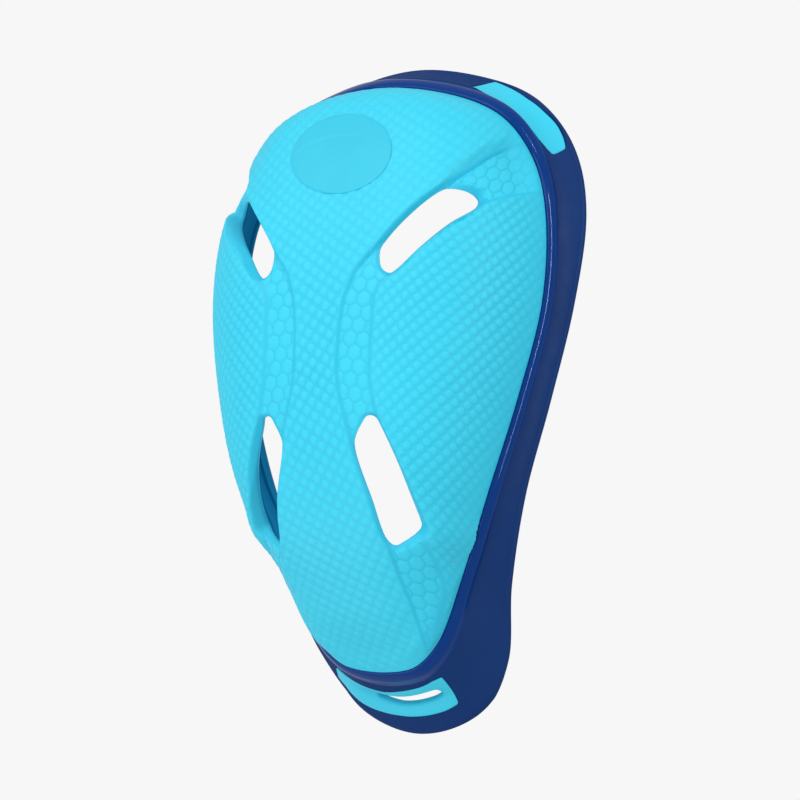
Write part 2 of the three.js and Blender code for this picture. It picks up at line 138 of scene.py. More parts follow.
STRAP_SLOT = [(10.12, 0.280), (10.34, 0.262), (10.61, 0.268), (11.08, 0.288), (11.60, 0.330), (11.58, 0.445),
              (11.12, 0.468), (10.79, 0.462), (10.56, 0.459), (10.33, 0.457), (10.12, 0.440)]

# ---------------------------------------------------------------- smooth rows


def smooth(rows, at, odd=()):
    """Rows joined by a smooth curve, even about both ends; columns named in odd change sign there."""
    n, k = rows.shape
    sign = np.ones(k)
    sign[list(odd)] = -1.0
    at = np.atleast_1d(np.asarray(at, float))
    i = np.clip(np.floor(at).astype(int), 0, n - 2)
    f = (at - i)[:, None]

    def pick(j):
        outside = (j < 0) | (j > n - 1)
        m = np.where(j < 0, -j, np.where(j > n - 1, 2 * (n - 1) - j, j))
        return rows[m] * np.where(outside[:, None], sign, 1.0)

    a, b, c, d = pick(i - 1), pick(i), pick(i + 1), pick(i + 2)
    return 0.5 * (2 * b + (c - a) * f + (2 * a - 5 * b + 4 * c - d) * f**2 + (3 * b - a - 3 * c + d) * f**3)


def smoothstep(a, b, v):
    t = np.clip((v - a) / (b - a), 0.0, 1.0)
    return t * t * (3 - 2 * t)


class Sections:
    """Sections of the rim. at runs 0 to 11 down the right side and 11 to 22 up the left."""

    def __init__(self, at):
        at = np.mod(np.atleast_1d(np.asarray(at, float)), 2 * LAST)
        right = at <= LAST
        u = np.where(right, at, 2 * LAST - at)
        v = smooth(RIM_ROWS, u, odd=(0,))
        # the way in is square to a stretch of the line, so that the lines inside it turn gently
        def beside(w):
            past = (w < 0) | (w > LAST)
            q = smooth(RIM_ROWS, np.where(w < 0, -w, np.where(past, 2 * LAST - w, w)), (0,))[:, :2]
            return q * np.where(past[:, None], (-1.0, 1.0), 1.0)

        t = beside(u + 0.6) - beside(u - 0.6)
        tx, ty = t[:, 0], t[:, 1]
        l = np.hypot(tx, ty)
        self.row, self.side = u, np.where(right, 1.0, -1.0)
        self.x, self.y = v[:, 0], v[:, 1]
        self.foot, self.top = np.maximum(v[:, 2], 0.0), v[:, 2] + v[:, 4]
        self.into, self.bead_in, self.bead_drop = v[:, 3], v[:, 5], v[:, 6]
        self.inx, self.iny = ty / l, -tx / l
        # the skirt, from the foot of the bead to the outer edge
        self.knee = np.stack([self.into - self.bead_in, self.top - self.bead_drop], 1)
        edge = np.stack([np.full_like(self.foot, 0.1), self.foot + 2 * EDGE_ROUND], 1)
        down = edge - self.knee
        self.length = np.linalg.norm(down, axis=1)
        self.down = down / self.length[:, None]
        self.out = np.stack([self.down[:, 1], -self.down[:, 0]], 1)

    def point(self, into, z):
        """Points of each section: level distance in from the outer edge, and height."""
        into, z = np.asarray(into, float), np.asarray(z, float)
        more = (slice(None),) + (None,) * (into.ndim - 1)
        return np.stack([
            self.side[more] * (self.x[more] + self.inx[more] * into),
            self.y[more] + self.iny[more] * into,
            z + 0.0 * into,
        ], -1)

    def skirt(self, along, proud):
        """Points of each section: down the skirt from the bead's foot, and out of its face."""
        p = self.knee + self.down * np.asarray(along)[:, None] + self.out * np.asarray(proud)[:, None]
        return self.point(p[:, 0], p[:, 1])


# ---------------------------------------------------------------- the dome

_edge = Sections(np.linspace(0, LAST, 2201))
_edge = _edge.point(_edge.into, _edge.top)[::-1]
EDGE_Y, EDGE_X, EDGE_Z = np.maximum.accumulate(_edge[:, 1]), np.maximum(_edge[:, 0], 1e-4), _edge[:, 2]
Y_FOOT, Y_TOP = EDGE_Y[0], EDGE_Y[-1]


def dome_height(x, y):
    x, y = np.broadcast_arrays(np.asarray(x, float), np.asarray(y, float))
    shape = x.shape
    x, y = x.ravel(), y.ravel()
    share = np.clip((y - Y_FOOT) / (Y_TOP - Y_FOOT), 0, 1)
    crest = smooth(CREST_ROWS, np.arccos(1 - 2 * share) / np.pi * (len(CREST_ROWS) - 1))[:, 0]
    power = smooth(FULLNESS_ROWS, share * (len(FULLNESS_ROWS) - 1))[:, 0]
    ex, ez = np.interp(y, EDGE_Y, EDGE_X), np.interp(y, EDGE_Y, EDGE_Z)
    t = np.clip(np.abs(x) / ex, 0, 1)
    bow = lambda q: (1 - (EDGE_SHARE * q) ** power) ** (1 / power)
    end = bow(np.ones_like(t))
    return (ez + (crest - ez) * (bow(t) - end) / (1 - end)).reshape(shape)


class Flat:
    """The dome's face laid out flat: s along each cross-section from the spine, v along the spine."""

    def __init__(self, rows=900, cols=320):
        th = np.linspace(0, np.pi, rows)
        self.y = Y_FOOT + (Y_TOP - Y_FOOT) * (1 - np.cos(th)) / 2
        self.ex = np.interp(self.y, EDGE_Y, EDGE_X)
        t = np.linspace(0, 1, cols)
        x = self.ex[:, None] * t
        z = dome_height(x, np.repeat(self.y[:, None], cols, 1))
        s = np.concatenate([np.zeros((rows, 1)), np.cumsum(np.hypot(np.diff(x, axis=1), np.diff(z, axis=1)), 1)], 1)
        self.length = s[:, -1]
        self.share_of_t = s / self.length[:, None]
        even = np.linspace(0, 1, cols)
        self.t_of_share = np.stack([np.interp(even, row, t) for row in self.share_of_t])
        self.v = np.concatenate([[0], np.cumsum(np.hypot(np.diff(self.y), np.diff(z[:, 0])))])
        self.rows, self.cols = rows, cols

    def _look(self, table, row, col):
        r = np.clip(row, 0, self.rows - 1.001)
        c = np.clip(col, 0, self.cols - 1.001)
        i, j = r.astype(int), c.astype(int)
        a, b = r - i, c - j
        return ((table[i, j] * (1 - b) + table[i, j + 1] * b) * (1 - a)
                + (table[i + 1, j] * (1 - b) + table[i + 1, j + 1] * b) * a)

    def to_flat(self, p):
        x, y = p[:, 0], p[:, 1]
        share = np.clip((y - Y_FOOT) / (Y_TOP - Y_FOOT), 0, 1)
        row = np.arccos(1 - 2 * share) / np.pi * (self.rows - 1)
        n = np.arange(self.rows)
        t = np.clip(np.abs(x) / np.interp(row, n, self.ex), 0, 1)
        s = self._look(self.share_of_t, row, t * (self.cols - 1)) * np.interp(row, n, self.length)
        return np.stack([np.sign(x) * s, np.interp(row, n, self.v)], 1)

    def to_plan(self, q):
        s, v = q[:, 0], q[:, 1]
        n = np.arange(self.rows)
        row = np.interp(v, self.v, n)
        share = np.clip(np.abs(s) / np.interp(row, n, self.length), 0, 1)
        t = self._look(self.t_of_share, row, share * (self.cols - 1))
        y = np.interp(row, n, self.y)
        return np.stack([np.sign(s) * t * np.interp(y, EDGE_Y, EDGE_X), y], 1)


FLAT = Flat()


def on_dome(plan):
    return np.column_stack([plan, dome_height(plan[:, 0], plan[:, 1])])


# ---------------------------------------------------------------- plane helpers


def rounded(corners, closed, passes=3, step=2.0):
    """A polyline cut into short steps, with its corners rounded off."""
    p = np.asarray(corners, float)
    if closed:
        p = np.vstack([p, p[:1]])
    cut = [p[:1]]
    for a, b in zip(p[:-1], p[1:]):
        n = max(1, int(np.ceil(np.linalg.norm(b[:2] - a[:2]) / step)))
        cut.append(a + (b - a) * (np.arange(1, n + 1) / n)[:, None])
    p = np.vstack(cut)
    if closed:
        p = p[:-1]
    for _ in range(passes):
        q = np.roll(p, -1, 0) if closed else p[1:]
        o = p if closed else p[:-1]
        new = np.stack([0.75 * o + 0.25 * q, 0.25 * o + 0.75 * q], 1).reshape(-1, p.shape[1])
        p = new if closed else np.vstack([p[:1], new, p[-1:]])
    return p


def curve_through(corners, steps=12):
    """A closed smooth curve through its corners, with even speed between them."""
    p = np.asarray(corners, float)
    a, b, c, d = np.roll(p, 1, 0), p, np.roll(p, -1, 0), np.roll(p, -2, 0)
    gap = lambda u, w: np.maximum(np.linalg.norm((w - u)[:, :2], axis=1), 1e-6)[:, None] ** 0.5
    t1, t2, t3 = gap(a, b), gap(b, c), gap(c, d)
    m1 = t2 * ((b - a) / t1 - (c - a) / (t1 + t2) + (c - b) / t2)
    m2 = t2 * ((c - b) / t2 - (d - b) / (t2 + t3) + (d - c) / t3)
    f = (np.arange(steps) / steps)[:, None, None]
    q = (2 * f**3 - 3 * f**2 + 1) * b + (f**3 - 2 * f**2 + f) * m1 + (3 * f**2 - 2 * f**3) * c + (f**3 - f**2) * m2
    return q.transpose(1, 0, 2).reshape(-1, p.shape[1])


def spaced(p, step, closed, keys=2):
    """Points at even steps along a polyline, measured in its first columns."""
    q = np.vstack([p, p[:1]]) if closed else p
    run = np.concatenate([[0], np.cumsum(np.linalg.norm(np.diff(q[:, :keys], axis=0), axis=1))])
    n = max(3, int(round(run[-1] / step)))
    at = np.linspace(0, run[-1], n + 1)
    at = at[:-1] if closed else at
    return np.stack([np.interp(at, run, q[:, k]) for k in range(q.shape[1])], 1)


def distance_to(points, line, closed):
    """Distance from each point to a polyline, and the position along it in points."""
    a = line
    b = np.roll(line, -1, 0) if closed else line[1:]
    a = a if closed else a[:-1]
    d = b - a
    dd = np.maximum((d * d).sum(1), 1e-12)
    best, where = np.empty(len(points)), np.empty(len(points))
    for k in range(0, len(points), 4000):
        p = points[k:k + 4000, None, :] - a[None]
        f = np.clip((p * d[None]).sum(2) / dd, 0, 1)
        off = np.linalg.norm(p - f[:, :, None] * d[None], axis=2)
        j = off.argmin(1)
        i = np.arange(len(j))
        best[k:k + 4000] = off[i, j]
        where[k:k + 4000] = j + f[i, j]
    return best, where


def inside(points, loop):
    x, y = points[:, 0], points[:, 1]
    odd = np.zeros(len(points), bool)
    for (ax, ay), (bx, by) in zip(loop, np.roll(loop, -1, 0)):
        cross = (ay > y) != (by > y)
        if cross.any():
            odd ^= cross & (x < ax + (y - ay) * (bx - ax) / (by - ay if by != ay else 1e-12))
    return odd


def outward(loop):
    """Unit normals of a closed polyline, pointing out of it."""
    t = np.roll(loop, -1, 0) - np.roll(loop, 1, 0)
    n = np.stack([t[:, 1], -t[:, 0]], 1)
    n /= np.linalg.norm(n, axis=1)[:, None]
    area = 0.5 * np.sum(loop[:, 0] * np.roll(loop[:, 1], -1) - np.roll(loop[:, 0], -1) * loop[:, 1])
    return n if area > 0 else -n


def clear_of(points, taken, gap):
    """The points that keep a gap from those already taken."""
    if not len(points) or not len(taken):
        return points
    tree = kdtree.KDTree(len(taken))
    for i, p in enumerate(taken.tolist()):
        tree.insert((p[0], p[1], 0.0), i)
    tree.balance()
    return points[np.array([tree.find((p[0], p[1], 0.0))[2] > gap for p in points.tolist()])]


def triangulate(loops, points):
    """Triangles of the region inside the first loop and outside the others. The loops' points come first."""
    points = points[inside(points, loops[0])]
    at = np.vstack(list(loops) + [points])
    edges, first = [], 0
    for loop in loops:
        n = len(loop)
        edges += [(first + i, first + (i + 1) % n) for i in range(n)]
        first += n
    made = delaunay_2d_cdt([Vector(p) for p in at.tolist()], edges, [], 2, 1e-7)
    if len(made[0]) != len(at):
        raise RuntimeError("points fell together in a triangulation")
    tri = np.array(made[2], int)
    drop, first = np.zeros(len(tri), bool), len(loops[0])
    for loop in loops[1:]:
        # the hole's triangles join across edges that are not its border
        n = len(loop)
        own = np.flatnonzero(((tri >= first) & (tri < first + n)).all(1))
        by_edge = {}
        for k in own.tolist():
            for x, y in ((0, 1), (1, 2), (2, 0)):
                x, y = sorted((int(tri[k, x]), int(tri[k, y])))
                if y - x not in (1, n - 1):
                    by_edge.setdefault((x, y), []).append(k)
        beside = {k: [] for k in own.tolist()}
        for pair in by_edge.values():
            if len(pair) == 2:
                beside[pair[0]].append(pair[1])
                beside[pair[1]].append(pair[0])
        a, b, c = at[tri[own, 0]], at[tri[own, 1]], at[tri[own, 2]]
        size = np.abs((b[:, 0] - a[:, 0]) * (c[:, 1] - a[:, 1]) - (b[:, 1] - a[:, 1]) * (c[:, 0] - a[:, 0]))
        size[~inside((a + b + c) / 3, loop)] = 0
        todo = [int(own[size.argmax()])]
        while todo:
            k = todo.pop()
            if not drop[k]:
                drop[k] = True
                todo += beside[k]
        first += n
    tri = tri[~drop]
    a, b, c = at[tri[:, 0]], at[tri[:, 1]], at[tri[:, 2]]
    turn = (b[:, 0] - a[:, 0]) * (c[:, 1] - a[:, 1]) - (b[:, 1] - a[:, 1]) * (c[:, 0] - a[:, 0])
    tri[turn < 0] = tri[turn < 0][:, ::-1]
    return at, tri


def vertex_normals(points, tri):
    n = np.cross(points[tri[:, 1]] - points[tri[:, 0]], points[tri[:, 2]] - points[tri[:, 0]])
    out = np.zeros_like(points)
    for k in range(3):
        np.add.at(out, tri[:, k], n)
    return out / np.maximum(np.linalg.norm(out, axis=1), 1e-12)[:, None]


def strip(a, b):
    """Triangles between two closed rings of vertex numbers with the same count."""
    a, b = np.asarray(a), np.asarray(b)
    a2, b2 = np.roll(a, -1), np.roll(b, -1)
    return np.vstack([np.stack([a, a2, b], 1), np.stack([a2, b2, b], 1)])


def mesh_object(name, points, faces, sharp_deg=None, attributes=None):
    """A mesh object in metres from millimetre points, smooth shaded."""
    me = bpy.data.meshes.new(name)
    me.from_pydata((np.asarray(points) * MM).tolist(), [], [list(map(int, f)) for f in faces])
    me.validate()
    me.update()
    me.shade_smooth()
    for key, values in (attributes or {}).items():
        layer = me.attributes.new(key, "FLOAT", "POINT")
        layer.data.foreach_set("value", np.asarray(values, np.float32))
    if sharp_deg is not None:
        me.set_sharp_from_angle(angle=math.radians(sharp_deg))
    ob = bpy.data.objects.new(name, me)
    bpy.context.scene.collection.objects.link(ob)
    return ob


def face_out(points, tri):
    """The triangles of a closed surface, turned to point out."""
    a, b, c = points[tri[:, 0]], points[tri[:, 1]], points[tri[:, 2]]
    return tri if np.einsum("ij,ij->i", a, np.cross(b, c)).sum() > 0 else tri[:, ::-1]


# ---------------------------------------------------------------- relief of the cup's face


def lattice(v1, v2, origin, low, high):
    m = np.array([v1, v2], float)
    corner = np.array([(x, y) for x in (low[0], high[0]) for y in (low[1], high[1])], float) - origin
    ij = corner @ np.linalg.inv(m)
    i = np.arange(math.floor(ij[:, 0].min()), math.ceil(ij[:, 0].max()) + 1)
    j = np.arange(math.floor(ij[:, 1].min()), math.ceil(ij[:, 1].max()) + 1)
    g = np.stack(np.meshgrid(i, j, indexing="ij"), -1).reshape(-1, 2) @ m + origin
    return g[((g >= np.array(low)) & (g <= np.array(high))).all(1)]


def nearest_site(q, v1, v2, origin):
    m = np.array([v1, v2], float)
    ij = np.round((q - origin) @ np.linalg.inv(m))
    best, site = np.full(len(q), 1e9), np.zeros_like(q)
    for di in (-1, 0, 1):
        for dj in (-1, 0, 1):
            p = (ij + (di, dj)) @ m + origin
            d = np.linalg.norm(q - p, axis=1)
            near = d < best
            best[near], site[near] = d[near], p[near]
    return best, site


def hex_vectors(turn):
    return (HEX_PITCH * np.array([math.cos(turn), math.sin(turn)]),
            HEX_PITCH * np.array([math.cos(turn + math.pi / 3), math.sin(turn + math.pi / 3)]))


def hex_edge(q, turn, origin):
    """Distance to the border of each point's hexagon, and to its middle."""
    r, site = nearest_site(q, *hex_vectors(turn), origin)
    e = np.full(len(q), 1e9)
    for k in range(6):
        a = turn + k * math.pi / 3
        e = np.minimum(e, HEX_PITCH / 2 - (q - site) @ np.array([math.cos(a), math.sin(a)]))
    return e, r


PANEL_LINE = rounded(PANEL_EDGE, False, 3, 3.0)
CHEEK_LINE = rounded(CHEEK_EDGE, False, 3, 3.0)
PANEL_FLAT = FLAT.to_flat(PANEL_LINE)
CHEEK_FLAT = FLAT.to_flat(CHEEK_LINE)
V_END = FLAT.v[-1]
HEX_LOW_BELOW = -33.0  # the hexagons turn below this Y
ORIGIN = FLAT.to_flat(np.array([[0.0, 14.0]]))[0] * (0, 1)
HEX_ORIGIN = FLAT.to_flat(np.array([[9.4, 14.0]]))[0]
HEX_ORIGIN_LOW = FLAT.to_flat(np.array([[19.8, -43.0]]))[0]

VENT_LOOPS = []  # flat outline, lip depth at each point
for rows in VENTS:
    plan = curve_through(rows)
    flat = np.column_stack([FLAT.to_flat(plan[:, :2]), plan[:, 2]])
    VENT_LOOPS.append(spaced(flat, 0.36, True))


def edge_offsets(q, plan):
    """Distance into the channel from the panel's edge and from the cheek's edge, for |x|."""
    m = np.abs(q[:, 0])
    fq = np.column_stack([m, q[:, 1]])
    ax = np.abs(plan[:, 0])
    by = lambda line: np.interp(plan[:, 1], line[::-1, 1], line[::-1, 0])
    dp, _ = distance_to(fq, PANEL_FLAT, False)
    dc, _ = distance_to(fq, CHEEK_FLAT, False)
    return np.where(ax > by(PANEL_LINE), dp, -dp), np.where(ax < by(CHEEK_LINE), dc, -dc)


def relief(q, plan):
    """How far the face stands out of the dome at each point, and a 0 to 1 share from groove to crown that colours the
    face: painted shade, darker in the channels and between the dots, lighter on the crowns.
    """
    m = np.column_stack([np.abs(q[:, 0]), q[:, 1]])
    dp, dc = edge_offsets(q, plan)
    depth = np.interp(plan[:, 1], CHANNEL_DEPTH[:, 0], CHANNEL_DEPTH[:, 1])
    soft = 3.4 * smoothstep(49, 57, plan[:, 1])
    sunk = depth * smoothstep(-0.25 - soft, 0.65, dp) * smoothstep(-0.5, 1.6, dc)

    to_edge = np.interp(q[:, 1], FLAT.v, FLAT.length) - m[:, 0]
    on_film = plan - (LABEL_X, LABEL_Y)
    to_label = np.hypot(on_film[:, 0] - LABEL_LEAN / 0.9 * on_film[:, 1], on_film[:, 1] / (0.9 * LABEL_TALL)) - LABEL_RADIUS

    # dots of the panel and the cheeks
    r1, _ = nearest_site(q, PANEL_DOTS["v1"], PANEL_DOTS["v2"], ORIGIN)
    r2, _ = nearest_site(m, CHEEK_DOTS["v1"], CHEEK_DOTS["v2"], ORIGIN + (20.0, 0.0))
    pip = lambda r, radius: 0.7 * np.sqrt(np.maximum(1 - (r / radius) ** 4, 0)) + 0.3 * np.maximum(1 - (r / radius) ** 2, 0)
    panel_share = np.interp(plan[:, 1], PANEL_SHARE[:, 0], PANEL_SHARE[:, 1])
    dots = (panel_share * pip(r1, PANEL_DOTS["radius"]) * smoothstep(0.1, 0.8, -dp)
            + CHEEK_SHARE * pip(r2, CHEEK_DOTS["radius"]) * smoothstep(0.1, 0.9, -dc))
    # hexagons of the channels
    e1, h1 = hex_edge(m, HEX_TURN, HEX_ORIGIN)
    e2, h2 = hex_edge(m, HEX_TURN_LOW, HEX_ORIGIN_LOW)
    low = plan[:, 1] < HEX_LOW_BELOW
    e, h = np.where(low, e2, e1), np.where(low, h2, h1)
    plate = smoothstep(0.0, 0.5, e) + 0.35 * np.maximum(1 - (h / (0.55 * HEX_PITCH)) ** 2, 0)
    in_channel = smoothstep(0.3, 1.0, dp) * smoothstep(0.4, 1.3, dc)
    texture = DOT_HEIGHT * dots + HEX_GROOVE * plate * in_channel

    lip = np.zeros(len(q))
    bare = np.ones(len(q))
    for n, loop in enumerate(VENT_LOOPS):
        near = np.flatnonzero(((m > loop[:, :2].min(0) - 5) & (m < loop[:, :2].max(0) + 5)).all(1))
        if not len(near):
            continue
        d, where = distance_to(m[near], loop[:, :2], True)
        k = np.round(where).astype(int) % len(loop)
        if n == 0:
            # a steep plain wall, with a fine crease along its top
            reach = 0.5 + 0.28 * loop[k, 2]
            g = np.clip(1 - d / reach, 0, 1)
            crease = 0.40 * np.exp(-((d - reach - 0.42) / 0.28) ** 2) * np.clip(loop[k, 2] - 1.3, 0, 1)
        else:
            # a soft fall that grows steeper towards the vent
            reach = 0.6 + 0.62 * loop[k, 2]
            g = 0.55 * np.clip(1 - d / reach, 0, 1) ** 1.8 + 0.45 * np.clip(1 - d / (0.5 * reach), 0, 1)
            crease = 0.0
        lip[near] = np.maximum(lip[near], (loop[k, 2] - sunk[near]) * g + crease)
        bare[near] = np.minimum(bare[near], smoothstep(0.6, 1.05, d / (0.5 + 0.28 * loop[k, 2])))
    texture *= bare * smoothstep(0.15, 0.75, to_edge) * smoothstep(-0.3, 0.5, to_label)
    texture *= 0.30 + 0.70 * smoothstep(2.0, 8.0, to_edge)
    sunk *= smoothstep(0.0, 6.5, to_edge)
    sunk += 0.36 * np.exp(-((dp - 0.3) / 0.36) ** 2) * smoothstep(28, 36, plan[:, 1]) * smoothstep(3.0, 9.0, to_edge)
    away = (np.abs(plan[:, 0]) - 27.5) ** 2 / 4.5**2 + (plan[:, 1] + 32.5) ** 2 / 5.0**2
    sunk -= 1.2 * np.exp(-away) * smoothstep(0.0, 2.5, -dc)
    flank = smoothstep(-40.0, -46.0, plan[:, 1]) * smoothstep(-66.0, -58.0, plan[:, 1])
    sunk -= 0.62 * flank * smoothstep(0.0, 2.2, to_edge) * smoothstep(10.0, 4.0, to_edge)
    # painted shade: the colour share is low in the channels' grooves and between the dots, high on their crowns
    ground = (1 - panel_share) * smoothstep(0.1, 0.8, -dp) + (1 - CHEEK_SHARE) * smoothstep(0.1, 0.9, -dc)
    return texture - sunk - lip, np.clip(ground + texture / DOT_HEIGHT, 0, 1)


# ---------------------------------------------------------------- shell


def ring_points(centres, radii_counts, turn=0.0):
    out = [centres]
    for n, (r, count) in enumerate(radii_counts):
        a = np.arange(count) * 2 * np.pi / count + turn + 0.3 * n
        out.append((centres[:, None, :] + r * np.stack([np.cos(a), np.sin(a)], 1)[None]).reshape(-1, 2))
    return np.vstack(out)


def zone_of(q):
    """0 on the panel, 1 on a cheek, 2 in a channel."""
    plan = FLAT.to_plan(q)
    ax = np.abs(plan[:, 0])
    by = lambda line: np.interp(plan[:, 1], line[::-1, 1], line[::-1, 0])
    panel, cheek = by(PANEL_LINE), by(CHEEK_LINE)
    return np.where(ax < panel, 0, np.where(ax > cheek, 1, 2)), plan


def both_sides(q):
    return np.vstack([q, q * (-1, 1)])


def shell_mesh():
    # the foot of the face, all round
    dense = np.linspace(0, 2 * LAST, 6001)[:-1]
    s = Sections(dense)
    line = np.column_stack([s.point(s.into, s.top), dense])
    foot = spaced(line, 0.62, True, keys=3)
    wrap = np.abs(np.diff(np.append(foot[:, 3], foot[0, 3]))) > 5
    at = foot[:, 3].copy()
    at[np.flatnonzero(wrap)] = np.mod(at[np.flatnonzero(wrap)], 2 * LAST)
    sec = Sections(at)
    edge3 = sec.point(sec.into, sec.top)
    v = np.interp(edge3[:, 1], FLAT.y, FLAT.v)
    rim_flat = np.stack([edge3[:, 0] * np.interp(v, FLAT.v, FLAT.length / FLAT.ex), v], 1)

    vents = []
    for loop in VENT_LOOPS:
        for side in (1, -1):
            vents.append((np.column_stack([loop[:, 0] * side, loop[:, 1]]), loop[:, 2]))
    loops = [rim_flat] + [l for l, _ in vents]

    # points that follow the shapes: rings round the vents, the panel's and cheeks' edges, hexagons and dots
    fixed = np.vstack(loops)
    sets = []
    for loop, _ in vents:
        n = outward(loop)
        sets.append((np.vstack([loop[(i % 2)::1 + (o > 1.2)] + n[(i % 2)::1 + (o > 1.2)] * o
                                for i, o in enumerate((0.22, 0.5, 0.8, 1.1, 1.45, 1.85, 2.4, 3.2))]), 0.14))
    lines = []
    for line, offs in ((PANEL_FLAT, (-0.75, -0.3, 0.1, 0.5, 0.9)), (CHEEK_FLAT, (-1.5, -0.9, -0.3, 0.3, 0.9))):
        p = spaced(line, 0.55, False)
        t = np.gradient(p, axis=0)
        n = np.stack([t[:, 1], -t[:, 0]], 1) / np.linalg.norm(t, axis=1)[:, None]
        lines.append(np.vstack([p + n * o for o in offs]))
    sets.append((both_sides(np.vstack(lines)), 0.26))

    low, high = (0.0, 0.0), (FLAT.length.max(), V_END)
    hexes = []
    for turn, origin, below in ((HEX_TURN, HEX_ORIGIN, False), (HEX_TURN_LOW, HEX_ORIGIN_LOW, True)):
        c = lattice(*hex_vectors(turn), origin, low, high)
        zone, plan = zone_of(c)
        dp, dc = edge_offsets(c, plan)
        c = c[(np.minimum(dp, dc) > -2.4) & ((plan[:, 1] < HEX_LOW_BELOW + 2.5) if below else (plan[:, 1] > HEX_LOW_BELOW - 2.5))]
        rings = [c]
        for inset, per_edge in ((0.0, 7), (0.22, 7), (0.5, 6), (1.0, 3)):
            apothem = HEX_PITCH / 2 - inset
            corner = [(apothem / math.cos(math.pi / 6)) * np.array([math.cos(a), math.sin(a)])
                      for a in (turn + math.pi / 6 + k * math.pi / 3 for k in range(6))]
            ring = np.vstack([corner[k] + (corner[(k + 1) % 6] - corner[k]) * (np.arange(per_edge) / per_edge)[:, None]
                              for k in range(6)])
            rings.append((c[:, None] + ring[None]).reshape(-1, 2))
        p = np.vstack(rings)
        _, keep = np.unique(np.round(p, 2), axis=0, return_index=True)
        p = p[np.sort(keep)]
        zone, plan = zone_of(p)
        hexes.append(p[(zone == 2) & ((plan[:, 1] < HEX_LOW_BELOW) == below)])
    sets.append((both_sides(np.vstack(hexes)), 0.2))

    rings = lambda r: ((0.40 * r, 6), (0.75 * r, 11), (1.0 * r, 15))
    c = lattice(PANEL_DOTS["v1"], PANEL_DOTS["v2"], ORIGIN, (-high[0], 0.0), high)
    mid = c + (np.array(PANEL_DOTS["v1"]) + PANEL_DOTS["v2"]) / 2
    p = np.vstack([ring_points(c, rings(PANEL_DOTS["radius"])), mid])
    zone, _ = zone_of(p)
    dots = [p[zone == 0]]
    c = lattice(CHEEK_DOTS["v1"], CHEEK_DOTS["v2"], ORIGIN + (20.0, 0.0), low, high)
    mid = c + (np.array(CHEEK_DOTS["v1"]) + CHEEK_DOTS["v2"]) / 2
    p = np.vstack([ring_points(c, rings(CHEEK_DOTS["radius"])), mid])
    zone, _ = zone_of(p)
    dots.append(both_sides(p[zone == 1]))
    sets.append((np.vstack(dots), 0.24))

    taken, points = fixed, []
    for p, gap in sets:
        room = np.interp(p[:, 1], FLAT.v, FLAT.length) - np.abs(p[:, 0])
        p = p[(room > 0.3) & (p[:, 1] > 0.3) & (p[:, 1] < V_END - 0.3)]
        for loop in loops[1:]:
            near = ((p > loop.min(0)) & (p < loop.max(0))).all(1)
            drop = np.zeros(len(p), bool)
            drop[near] = inside(p[near], loop)
            p = p[~drop]
        p = clear_of(p, taken, gap)
        # thin out points of one set that fall together
        _, keep = np.unique(np.round(p / 0.12), axis=0, return_index=True)
        p = p[np.sort(keep)]
        points.append(p)
        taken = np.vstack([taken, p])
    flat, tri = triangulate(loops, np.vstack(points))

    plan = FLAT.to_plan(flat)
    plan[:len(edge3)] = edge3[:, :2]
    base = on_dome(plan)
    base[:len(edge3)] = edge3
    normal = vertex_normals(base, tri)
    # share becomes the relief colour attribute: painted shade in the grooves and between the dots
    out, share = relief(flat, plan)
    out[:len(edge3)] = 0
    face = base + normal * out[:, None]

    # the inside, on the same loops
    inner_loops = [rim_flat]
    for loop, _ in vents:
        inner_loops.append(loop + outward(loop) * 1.1)
    grid = lattice((2.4, 0), (1.2, 2.1), (0.0, 0.0), (-high[0], 0.0), high)
    room = np.interp(grid[:, 1], FLAT.v, FLAT.length) - np.abs(grid[:, 0])
    grid = grid[(room > 0.8) & (grid[:, 1] > 0.8) & (grid[:, 1] < V_END - 0.8)]
    for loop in inner_loops[1:]:
        grid = grid[~inside(grid, loop)]
    around = np.vstack([l[::2] + outward(l)[::2] * o for l in inner_loops[1:] for o in (0.7, 1.6)])
    around = clear_of(around, np.vstack(inner_loops), 0.4)
    grid = np.vstack([around, clear_of(grid, np.vstack([np.vstack(inner_loops), around]), 0.9)])
    iflat, itri = triangulate(inner_loops, grid)
    iplan = FLAT.to_plan(iflat)
    iplan[:len(edge3)] = edge3[:, :2]
    ibase = on_dome(iplan)
    ibase[:len(edge3)] = edge3
    inormal = vertex_normals(ibase, itri)
    sink = np.full(len(ibase), SHELL_WALL)
    for loop in VENT_LOOPS:
        m = np.column_stack([np.abs(iflat[:, 0]), iflat[:, 1]])
        d, where = distance_to(m, loop[:, :2], True)
        k = np.round(where).astype(int) % len(loop)
        edge_sink = loop[k, 2] + 1.15
        sink = np.where(d < 4, edge_sink + (np.maximum(SHELL_WALL, edge_sink * 0 + SHELL_WALL) - edge_sink) * smoothstep(1.1, 3.6, d), sink)
    back = ibase - inormal * sink[:, None]

    points = [face, back]
    faces = [tri, itri[:, ::-1] + len(face)]
    used = len(face) + len(back)
    share = [share, np.full(len(back), 0.5)]
    outside = len(face)

    def add(ring):
        nonlocal used
        points.append(ring)
        share.append(np.full(len(ring), 0.5))
        used += len(ring)
        return np.arange(used - len(ring), used)

    # down the tongue and up to the inside
    n = len(edge3)
    lean = sec.bead_in / sec.bead_drop
    drop = sec.bead_drop + TONGUE_PAST_BEAD
    rings = [np.arange(n), add(sec.point(sec.into + SHOULDER, sec.top - 0.05)),
             add(sec.point(sec.into + SHOULDER - lean * drop, sec.top - drop)),
             add(sec.point(sec.into + SHOULDER + TONGUE_WALL - lean * drop, sec.top - drop)),
             add(sec.point(sec.into + SHOULDER + TONGUE_WALL - lean * (LIP_DROP - CLEARANCE), sec.top - LIP_DROP + CLEARANCE)),
             add(sec.point(sec.into + SHOULDER + TONGUE_WALL + 1.1 - lean * (LIP_DROP - CLEARANCE), sec.top - LIP_DROP + CLEARANCE)),
             len(face) + np.arange(n)]
    walls = []
    for a, b in zip(rings[:-1], rings[1:]):
        walls.append(strip(a, b))
